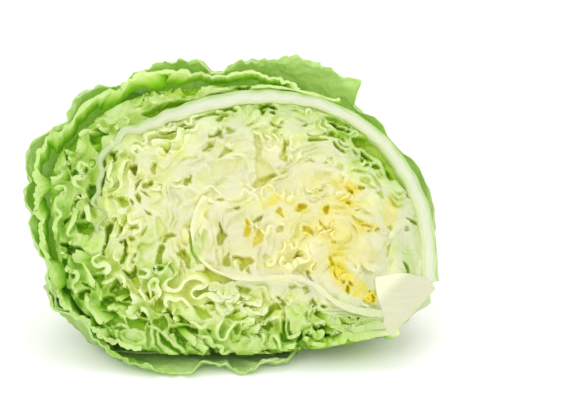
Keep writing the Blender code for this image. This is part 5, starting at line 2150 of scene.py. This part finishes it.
@dataclass
class BandLeaf:
    """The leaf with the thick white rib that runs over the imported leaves."""

    name: str = "white_band_leaf"
    steps: int = 260
    depths: tuple[float, ...] = (0.0, 0.25, 1.2, 3.0, 6.0, 9.0, 14.0, 20.0, 28.0, 36.0)
    fades: tuple[float, ...] = (0.93, 1.0, 1.0, 0.96, 0.9, 0.82, 0.7, 0.58, 0.45, 0.3)
    lines: int = 9
    inward: float = 3.6
    inward_run: float = 5.0
    finish: RibFinish = RibFinish("rib_white")

    def walls(self, path: Array, across: Array, at: Array, front: Array) -> Array:
        """Draws the lines that run along the band, all round its section.

        Args:
            path: the band's middle line in the face.
            across: the directions across it.
            at: each point's place between the corners of BAND.
            front: how far each point stands behind the cut.

        Returns:
            Lines by points, from the back of one side round the cut to the back of the other.
        """
        half = np.interp(at, np.arange(len(BAND)), BAND_HALF)
        depth = np.array(self.depths)[:, None] + front * np.linspace(1, 0, len(self.depths))[:, None]
        centre = np.concatenate([path[None] * shrink(depth)[:, :, None], depth[:, :, None]], axis=2)
        inward = self.inward * (1 - np.exp(-depth / self.inward_run)) * np.clip(1.4 - 0.2 * at, 0.3, 1)
        centre[:, :, :2] += across[None] * inward[:, :, None]
        thick = half * np.array(self.fades)[:, None]
        blocks = []
        for share in np.linspace(1, -1, self.lines):
            moved = centre.copy()
            moved[:, :, :2] += across[None] * (thick * share)[:, :, None]
            blocks.append(moved)
        middle = np.array([block[0] for block in blocks[1:-1]])
        return np.concatenate([blocks[0][::-1], middle, blocks[-1]], axis=0)

    def build(self) -> bpy.types.Object:
        """Builds the leaf and dresses it.

        Returns:
            The finished piece.
        """
        path = evenly(through(BAND), self.steps)
        s, across = lengths(path), sideways(path)
        at = np.linspace(0, len(BAND) - 1, self.steps + 1)
        end = unit((at - 8.5) / 4)
        rng = np.random.default_rng(8)
        aside = waves(rng, s, 7, 20, 1.0) * (0.12 + 1.2 * end) - 0.7 * bell((at - 4) / 1.4)
        front = 0.7 * end * np.clip(waves(rng, s, 9, 24, 1.2), 0, 3)
        around = self.walls(path + across * aside[:, None], across, at, front)
        points, faces = lantern(around.transpose(1, 0, 2))
        rows, between = len(self.depths), np.linspace(0, 1, self.lines)[1:-1]
        outer = np.concatenate([np.zeros(rows), between, np.ones(rows)])
        # Depth along the band, which darkens the rib's colour as painted shade
        deep = np.concatenate([self.depths[::-1], 0 * between, self.depths]) / self.depths[-1]
        values = {}
        parts = (("along", s[:, None]), ("outer", outer), ("deep", deep), ("blade", end[:, None]))
        for label, numbers in parts:
            laid = np.broadcast_to(numbers, (len(path), len(around)))
            values[label] = np.concatenate([laid.ravel(), [laid[0].mean(), laid[-1].mean()]])
        skin = Skin()
        skin.add(points, faces, **values)
        return skin.build(self.name, self.finish, PACK_LOWEST)


@dataclass
class StemCore:
    """The stem core, cut lengthwise and across its foot."""

    name: str = "cut_stem_core"
    rows: int = 18
    steps: int = 120
    bevel: tuple[Pair, ...] = ((0.3, 0.2), (0.7, 0.2), (0.93, 0.2), (0.985, 0.14))
    finish: StemFinish = StemFinish("stem_cream")

    def build(self) -> bpy.types.Object:
        """Builds the core and dresses it.

        Returns:
            The finished piece.
        """
        turn = math.radians(STEM_DIRECTION - STEM_TURN)
        along = np.array([math.cos(turn), math.sin(turn)])
        across = np.array([-along[1], along[0]])
        corner = np.asarray(STEM_CORE, float)
        middle = corner.mean(axis=0)
        soft = evenly(corner, self.steps, closed=True)
        for _ in range(3):
            soft = 0.5 * soft + 0.25 * (np.roll(soft, 1, axis=0) + np.roll(soft, -1, axis=0))
        a, b = (soft - middle) @ along, (soft - middle) @ across
        rings = []
        for share, proud in self.bevel:
            rings.append(np.column_stack([middle + (soft - middle) * share, np.full(self.steps, -proud)]))
        for k in range(self.rows + 1):
            bend = 0.5 * math.pi * k / self.rows
            inward = np.where(a < 0, a * (0.55 + 0.45 * math.cos(bend)), a)
            flat = middle + np.outer(inward, along) + np.outer(b * max(0.12, math.cos(bend)), across)
            back = STEM_DEPTH * math.sin(bend) + (0.1 if k == 0 else 0.0)
            rings.append(np.column_stack([flat, np.full(self.steps, back)]))
        points, faces = lantern(np.array(rings))
        foot = ((points[:, :2] - middle) @ along) / a.max()
        skin = Skin()
        skin.add(points, faces, foot=foot)
        return skin.build(self.name, self.finish)


# Loose leaves over the dome


def on_dome(n: Array) -> Array:
    """Finds the head's surface.

    Args:
        n: places of the unit sphere.

    Returns:
        Points in the face's frame.
    """
    flat = np.sqrt(n[:, 0] ** 2 + n[:, 1] ** 2)
    angle = angles(n)
    far = outline_radius(angle) * flat
    return np.column_stack([far * np.cos(angle), far * np.sin(angle), n[:, 2] * DOME_DEPTH])


def bumps(n: Array, seed: int, count: int, shortest: float, longest: float) -> Array:
    """A smooth random field over the unit sphere.

    Args:
        n: places of the unit sphere.
        seed: the seed of its waves.
        count: how many waves it sums.
        shortest: the shortest pitch, in radii.
        longest: the longest pitch, in radii.

    Returns:
        The field, between about -1 and 1.
    """
    rng = np.random.default_rng(seed)
    total = np.zeros(len(n))
    for _ in range(count):
        way = rng.normal(size=3)
        way /= math.sqrt((way * way).sum())
        pitch = rng.uniform(shortest, longest)
        phase = rng.uniform(0, 2 * math.pi)
        along = n[:, 0] * way[0] + n[:, 1] * way[1] + n[:, 2] * way[2]
        total += np.sin(2 * math.pi * along / pitch + phase)
    return np.clip(total / math.sqrt(count), -1, 1)


@dataclass
class LooseLeaf:
    """A loose leaf over the dome, on a great circle that starts at the stem."""

    node: str
    longitude: float
    start: float
    end: float
    half: float
    layer: int
    rib: float
    finish: BladeFinish
    tone: float = 0.5
    rows: int = 170
    columns: int = 126
    vein_height: float = 0.35
    tucked: float = 34.0
    forward_corner: float = 4.0
    floor_ruffle: float = 4.0

    def __post_init__(self) -> None:
        """Finds the leaf's three directions on the sphere."""
        turn = math.radians(STEM_DIRECTION)
        self.stem_way = np.array([math.cos(turn), math.sin(turn), 0.0])
        up_way = np.array([-math.sin(turn), math.cos(turn), 0.0])
        lon = math.radians(self.longitude)
        self.over = math.cos(lon) * up_way + math.sin(lon) * np.array([0.0, 0.0, 1.0])
        self.across = np.cross(self.stem_way, self.over)

    def spread(self, share: Array) -> Array:
        """How wide the leaf is at a share of its length, from 0 to 1."""
        return 0.24 + 0.76 * np.sin(np.minimum(1.0, np.maximum(share, 0.0) * 1.5) * math.pi / 2) ** 1.2

    def place(self, share: Array, x: Array) -> Array:
        """Places on the unit sphere.

        Args:
            share: the share of the leaf's length.
            x: the share of its half width.

        Returns:
            Unit vectors.
        """
        latitude = np.radians(self.start + (self.end - TIP_ROUND * x * x - self.start) * share)
        lateral = np.radians(self.half * x * self.spread(share))
        way = np.outer(np.cos(latitude), self.stem_way) + np.outer(np.sin(latitude), self.over)
        return np.cos(lateral)[:, None] * way + np.outer(np.sin(lateral), self.across)

    def where(self, n: Array) -> tuple[Array, Array]:
        """Finds places of the unit sphere on the leaf.

        Args:
            n: places of the unit sphere.

        Returns:
            The share of the leaf's length and of its half width at each.
        """
        lateral = np.degrees(np.arcsin(np.clip(n @ self.across, -1, 1)))
        latitude = np.degrees(np.arctan2(n @ self.over, n @ self.stem_way))
        latitude = np.where(latitude < -60, latitude + 360, latitude)
        share = (latitude - self.start) / (self.end - self.start)
        x = lateral / (self.half * self.spread(share))
        share = (latitude - self.start) / (self.end - TIP_ROUND * np.minimum(x * x, 1) - self.start)
        return share, x

    def thickness(self, n: Array) -> Array:
        """The blade with a rib along the middle that fades towards the tip.

        Args:
            n: places of the unit sphere.

        Returns:
            The thickness at each, in millimetres.
        """
        share, x = self.where(n)
        fade = unit(1.2 - share)
        middle = bell(x * self.half / (4.0 + 6.0 * fade))
        return WRAPPER_BLADE + self.rib * middle * fade

    def frill(self, n: Array) -> Array:
        """How far the free edge is lifted in waves.

        Args:
            n: places of the unit sphere.

        Returns:
            The lift at each, in millimetres.
        """
        share, x = self.where(n)
        out = np.maximum(np.abs(x), share)
        rise = np.clip(out - 0.5, 0, 0.5) * 4.4
        rise = rise * unit((1.3 - out) / 0.2)
        return rise * (0.5 + 0.5 * bumps(n, 7, 6, 0.22, 0.40)) * unit(share * 2.5)

    def veins(self, share: Array, x: Array) -> Array:
        """How much each place lies on a vein: side veins that leave the rib and fork.

        Args:
            share: the share of the leaf's length.
            x: the share of its half width.

        Returns:
            Shares from 0 to 1.
        """
        warp = 0.05 * np.sin(9 * share + 5 * x) + 0.03 * np.sin(23 * share - 11 * x + self.longitude)
        side = (share * 7.5 - np.abs(x) * 3.1 + warp * 8 + np.where(x > 0, 0.4, 0.0)) % 1.0
        near = np.abs(side - 0.5) / (0.10 - 0.05 * unit(np.abs(x)))
        main = bell(near) * unit(1.25 - np.abs(x))
        fork = (share * 15.0 - np.abs(x) * 13.0 + warp * 20) % 1.0
        fine = 0.45 * bell(np.abs(fork - 0.5) / 0.11) * unit(np.abs(x) * 2 - 0.2)
        return unit(main + fine)

    def torn(self, share: Array, rng: np.random.Generator) -> tuple[Array, Array]:
        """How far the torn edge stands in or out along each side.

        Args:
            share: the share of the leaf's length, row by row.
            rng: the seeded source of the tears.

        Returns:
            Factors for the half width on the right and on the left.
        """
        both = []
        for _ in range(2):
            coarse = waves(rng, share * 100, 9, 26, 0.035)
            fine = waves(rng, share * 100, 3.5, 7, 0.008)
            both.append(1 + (coarse + fine) * unit(share * 5 - 0.8))
        return both[0], both[1]

    def places(self) -> tuple[Array, list[Array]]:
        """The leaf's places on the unit sphere, cut off at the plane of the cut face.

        Returns:
            Unit vectors, and the faces over them as triangles and quads.
        """
        bpy.ops.mesh.primitive_grid_add(x_subdivisions=self.columns - 1, y_subdivisions=self.rows - 1, size=2)
        piece = bpy.context.active_object
        flat = np.empty(len(piece.data.vertices) * 3)
        piece.data.vertices.foreach_get("co", flat)
        x, share = flat[0::3], 0.5 + 0.5 * flat[1::3]
        rng = np.random.default_rng(int(self.longitude))
        right, left = self.torn(share, rng)
        tip = waves(rng, 50 + 50 * x, 12, 30, 0.02) + waves(rng, 50 + 50 * x, 4, 8, 0.005)
        x = np.where(x > 0, x * right, x * left)
        share = share * (1 + tip * unit(share * 3 - 2))
        piece.data.vertices.foreach_set("co", self.place(share, x).ravel())
        bpy.ops.object.mode_set(mode="EDIT")
        bpy.ops.mesh.select_all(action="SELECT")
        bpy.ops.mesh.bisect(plane_co=(0, 0, 0), plane_no=(0, 0, 1), clear_inner=True)
        bpy.ops.object.mode_set(mode="OBJECT")
        work = bmesh.new()
        work.from_mesh(piece.data)
        bmesh.ops.dissolve_degenerate(work, dist=0.0006, edges=work.edges)
        bmesh.ops.triangulate(work, faces=[face for face in work.faces if len(face.verts) > 4])
        work.verts.index_update()
        n = np.array([vert.co for vert in work.verts])
        faces = [[vert.index for vert in face.verts] for face in work.faces]
        work.free()
        bpy.data.objects.remove(piece)
        n /= norms(n)[:, None]
        return n, [np.array([face for face in faces if len(face) == sides]) for sides in (3, 4)]

    def build(self) -> bpy.types.Object:
        """Builds the leaf and dresses it.

        Returns:
            The finished piece.
        """
        n, faces = self.places()
        share, x = self.where(n)
        vein = self.veins(share, x)
        out = np.maximum(np.abs(x), share)
        rim = bell(n[:, 2] / 0.1)
        under, top = layer_heights(n)[self.layer]
        thin = 1 - 0.55 * np.maximum(unit((out - 0.6) / 0.4), rim)
        top = under + (top - under) * thin + self.vein_height * vein
        wave, forward = self.ruffle(n, top)
        wave = wave + blisters(n)
        low = unit(-n[:, 1] * 2 - 0.4) * rim * (n[:, 0] < 0.42)
        lift = low * self.floor_ruffle * unit(0.1 + bumps(n, 101, 8, 0.1, 0.24))
        level = FLOOR_LEVELS[self.layer] * (WRAPPER_BLADE + GAP)
        sides = []
        for height, lowest in ((top, level), (under, level + WRAPPER_BLADE * 0.6)):
            points = layer_points(n, height + wave, lowest)
            points[:, 2] -= forward
            press(points, lowest + lift)
            sides.append(points)
        count = len(n)
        front = [part for part in faces if len(part)]
        back = [part[:, ::-1] + count for part in front]
        values = {"vein": vein, "rib": self.rib_share(share, x), "tone": self.tones(n)}
        skin = Skin()
        skin.add(np.vstack(sides), front + back + [open_sides(front, count)],
                 **{label: np.tile(numbers, 2) for label, numbers in values.items()})
        return skin.build(f"loose_{self.node}", self.finish)

    def rib_share(self, share: Array, x: Array) -> Array:
        """How much each place belongs to the white rib and foot.

        Args:
            share: the share of the leaf's length.
            x: the share of its half width.

        Returns:
            Shares from 0 to 1.
        """
        fade = unit(1.2 - share)
        rib = bell(x * self.half / (5.0 + 9.0 * fade)) * fade
        return unit(rib + 0.8 * unit(1 - share / 0.22))

    def tones(self, n: Array) -> Array:
        """How light the green is: lighter at the rim and on the inside over the top.

        Args:
            n: places of the unit sphere.

        Returns:
            Tones from 0 to 1.
        """
        rim = bell(n[:, 2] / 0.1)
        # The lighter inside over the top is partly the leaf's paler inner face, partly painted light for the
        # glow through the top leaf on its shaded underside
        inner = bell(n[:, 2] / 0.3) * unit(n[:, 1] * 2 - 0.6)
        return unit(self.tone + 0.25 * bumps(n, 12, 6, 0.2, 0.6) + 0.4 * rim + 0.55 * inner)

    def ruffle(self, n: Array, top: Array) -> tuple[Array, Array]:
        """The large waves of the rim, out to where the leaf's free edge stands.

        Args:
            n: places of the unit sphere.
            top: the leaf's height over the dome without its waves.

        Returns:
            How far each place moves outwards and how far forwards.
        """
        near = bell(n[:, 2] / 0.2)
        lip = bell(n[:, 2] / 0.07)
        angle = angles(n)
        reach = lip_reach(angle)
        reach = reach + 1.6 * unit((reach - 2.5) / 2)
        wanted = np.maximum(reach - 1.3 * (2 - self.layer), 0.3 + 0.8 * self.layer)
        own = bumps(n, 70 + self.layer, 8, 0.1, 0.24)
        loose = np.clip(reach / 6, 0.1, 1)
        right = unit((n[:, 0] - 0.36) / 0.12) * unit(-n[:, 1] * 3)
        right = right * bell(n[:, 2] / 0.34)
        loose = loose * (1 - right)
        wave = near * (1 - right) * (wanted - top)
        wave = wave + loose * (lip * 0.9 * bumps(n, 64, 8, 0.05, 0.12) + near * 0.8 * own)
        forward = near * loose * 2.6 * bumps(n, 80 + self.layer, 8, 0.18, 0.4)
        forward = forward + lip * loose * 1.0 * bumps(n, 90 + self.layer, 9, 0.05, 0.1)
        corner = near * bell((np.degrees(angle) + 112) / 16)
        return wave, forward - self.tucked * right + self.forward_corner * corner


def press(points: Array, level: Array | float) -> None:
    """Lifts points that are lower than a level over the floor.

    Args:
        points: points of the face's frame, changed in place.
        level: the level, in millimetres.
    """
    height = points[:, 1] * LEAN_COS - points[:, 2] * LEAN_SIN + FACE_TO_FLOOR
    short = np.maximum(0, level - height)
    points[:, 1] += short * LEAN_COS
    points[:, 2] -= short * LEAN_SIN


def open_sides(faces: list[Array], count: int) -> Array:
    """Quads that join the open sides of two copies of one surface.

    Args:
        faces: the first copy's faces.
        count: how many points the first copy has.

    Returns:
        Four point numbers for each quad.
    """
    pairs = np.vstack([
        np.column_stack([part[:, k], part[:, (k + 1) % part.shape[1]]])
        for part in faces for k in range(part.shape[1])
    ])
    key = pairs[:, 0] * count + pairs[:, 1]
    back = pairs[:, 1] * count + pairs[:, 0]
    lone = pairs[~np.isin(key, back)]
    return np.column_stack([lone[:, 1], lone[:, 0], lone[:, 0] + count, lone[:, 1] + count])


def loose_waves(n: Array) -> Array:
    """How far the loose leaves lift from the dome: more at the cut and at the crown.

    Args:
        n: places of the unit sphere.

    Returns:
        Heights in millimetres.
    """
    turn = math.radians(STEM_DIRECTION)
    to_stem = n[:, 0] * math.cos(turn) + n[:, 1] * math.sin(turn)
    rim = bell(unit(n[:, 2]) / 0.35)
    free = np.clip(0.75 - to_stem, 0.05, 1.0)
    return (0.5 + 0.5 * bumps(n, 3, 8, 0.28, 0.75)) * free * (1.0 + 2.6 * rim)


def blisters(n: Array) -> Array:
    """The small bubbles and folds that all loose leaves share.

    Args:
        n: places of the unit sphere.

    Returns:
        Heights in millimetres.
    """
    rim = bell(unit(n[:, 2]) / 0.25)
    small = bumps(n, 51, 14, 0.06, 0.14)
    folds = bumps(n, 52, 9, 0.14, 0.3)
    edge = 0.9 * bumps(n, 53, 8, 0.09, 0.2) + 0.4 * bumps(n, 54, 9, 0.04, 0.08)
    return 0.45 * small + 0.6 * folds + rim * edge


def layer_heights(n: Array) -> list[tuple[Array, Array]]:
    """Stacks the layers of loose leaves over the dome.

    Args:
        n: places of the unit sphere.

    Returns:
        The heights of each layer's underside and top.
    """
    base = DOME_GAP + loose_waves(n)
    heights = []
    for layer in range(len(FLOOR_LEVELS)):
        thick = np.full(len(n), WRAPPER_BLADE)
        lift = np.zeros(len(n))
        for leaf in LOOSE_LEAVES:
            if leaf.layer == layer:
                thick = np.maximum(thick, leaf.thickness(n))
                lift = np.maximum(lift, leaf.frill(n))
        heights.append((base + lift, base + lift + thick))
        base = base + lift + thick + GAP
    return heights


def layer_points(n: Array, height: Array, lowest: float) -> Array:
    """Points of a layer, pressed flat where the head rests.

    Args:
        n: places of the unit sphere.
        height: height over the dome.
        lowest: the lowest level that the points may reach, in millimetres over the floor.

    Returns:
        Points in the face's frame.
    """
    p = on_dome(n)
    far = norms(p)
    way = p / far[:, None]
    fall = -(way[:, 1] * LEAN_COS - way[:, 2] * LEAN_SIN)
    room = np.where(fall > 0.05, (FACE_TO_FLOOR - lowest) / np.maximum(fall, 0.05), 1e6)
    return way * np.minimum(far + height, room)[:, None]


LOOSE_LEAVES = [
    LooseLeaf("back_leaf", 74.0, 14.0, 128.0, 46.0, 0, 1.8, BladeFinish("back_green"), 0.45),
    LooseLeaf("crown_leaf", 128.0, 24.0, 196.0, 42.0, 1, 1.4, BladeFinish("crown_green"), 0.6),
    LooseLeaf("top_leaf", 52.0, 30.0, 152.0, 53.0, 2, 1.4, BladeFinish("top_green"), 0.7),
    LooseLeaf("bottom_leaf", 160.0, 13.0, 134.0, 44.0, 2, 1.8, BladeFinish("bottom_green"), 0.35),
]


# The room


@dataclass(frozen=True)
class Lamp:
    """A soft square light: where it hangs and how wide it is, in metres, and its power in watts."""

    name: str
    place: tuple[float, float, float]
    size: float
    power: float


@dataclass
class Studio:
    """A pale floor, soft lights and the camera."""

    aim: Pair = (27.5, 6.6)
    distance: float = 0.9
    elevation: float = 24.0
    width: float = 0.2583
    sensor: float = 36.0
    floor_size: float = 14.0
    floor_white: Rgb = (0.97, 0.97, 0.97)
    sky_strength: float = 1.04
    lamps: tuple[Lamp, ...] = (
        Lamp("key", (-0.5, -0.9, 1.1), 0.9, 3.4),
        Lamp("fill", (0.9, -0.6, 0.7), 1.0, 1.2),
        Lamp("low", (-0.2, -1.3, 0.16), 0.9, 1.6),
        Lamp("top", (0.1, 0.5, 1.2), 0.8, 3.0),
    )

    def hang(self, name: str, data: bpy.types.ID, place: Vector, target: Vector) -> bpy.types.Object:
        """Hangs a light or the camera in the room.

        Args:
            name: its name.
            data: what it is.
            place: where it hangs.
            target: what it looks at.

        Returns:
            The object.
        """
        made = bpy.data.objects.new(name, data)
        bpy.context.scene.collection.objects.link(made)
        made.location = place
        made.rotation_euler = (target - place).to_track_quat("-Z", "Y").to_euler()
        return made

    def camera(self) -> None:
        """Places the camera almost square to the cut face."""
        data = bpy.data.cameras.new("camera")
        data.sensor_width = self.sensor
        data.lens = self.sensor * self.distance / self.width
        data.clip_start = 0.01
        target = Vector(face_to_world(np.array([[*self.aim, 0.0]]))[0])
        turn = math.radians(self.elevation)
        place = target + Vector((0, -math.cos(turn), math.sin(turn))) * self.distance
        bpy.context.scene.camera = self.hang("camera", data, place, target)

    def floor(self) -> None:
        """Lays the plain pale floor."""
        bpy.ops.mesh.primitive_plane_add(size=self.floor_size, location=(0, 0, -0.0004))
        made = bpy.context.active_object
        made.name = "pale_floor"
        nodes = Nodes("floor_white")
        shader = nodes.add("BsdfPrincipled", {"Base Color": self.floor_white, "Roughness": 0.75})
        nodes.put(nodes.output.inputs["Surface"], shader.outputs[0])
        made.data.materials.append(nodes.material)

    def light(self, lamp: Lamp) -> None:
        """Hangs a lamp that looks at the head.

        Args:
            lamp: the lamp.
        """
        data = bpy.data.lights.new(lamp.name, "AREA")
        data.shape = "SQUARE"
        data.size = lamp.size
        data.energy = lamp.power
        self.hang(lamp.name, data, Vector(lamp.place), Vector((0, 0, 0.05)))

    def sky(self) -> None:
        """Fills the room with even white light."""
        world = bpy.data.worlds.new("white_room")
        world.use_nodes = True
        back = world.node_tree.nodes["Background"]
        back.inputs["Color"].default_value = (1.0, 1.0, 1.0, 1.0)
        back.inputs["Strength"].default_value = self.sky_strength
        bpy.context.scene.world = world

    def build(self) -> None:
        """Sets up the whole room."""
        self.camera()
        self.floor()
        self.sky()
        for lamp in self.lamps:
            self.light(lamp)
        bpy.context.scene.view_settings.view_transform = "Standard"


def dress(piece: bpy.types.Object, node: str, slot: str) -> None:
    """Puts a piece in its node's place.

    Args:
        piece: the finished piece.
        node: the node that it stands for.
        slot: not used.
    """
    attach(piece, "root")
    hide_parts(node)
    LOG.info("%s: %d faces in place of %s", piece.name, len(piece.data.polygons), node)


def main() -> None:
    """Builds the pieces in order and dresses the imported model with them."""
    logging.basicConfig(level=logging.INFO, format="%(name)s: %(message)s")
    bpy.ops.object.select_all(action="DESELECT")
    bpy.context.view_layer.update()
    face = CutFace()
    long = sum(lengths(fold.path)[-1] for fold in face.folds)
    LOG.info("%d folded edges, %.0f mm long", len(face.folds), long)
    packed = [
        (PackedLeaves("packed_heart_leaves", "heart_leaves", Group.HEART, PackedFinish("heart_yellow"),
                      sunk=1.2), "heart_yellow"),
        (PackedLeaves("packed_inner_leaves", "inner_leaves", Group.INNER, PackedFinish("inner_green")),
         "inner_green"),
        (PackedLeaves("packed_outer_leaves", "outer_leaves", Group.OUTER, PackedFinish("outer_green"),
                      blade=1.5, sunk=2.6, proud=1.3), "leaf_green"),
    ]
    for leaves, slot in packed:
        dress(leaves.build(face), leaves.node, slot)
    dress(BandLeaf().build(), "band_leaf", "rib_white")
    dress(StemCore().build(), "stem_core", "stem_cream")
    for leaf in LOOSE_LEAVES:
        dress(leaf.build(), leaf.node, "leaf_green")
    Studio().build()
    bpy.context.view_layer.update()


if __name__ == "__main__":
    main()
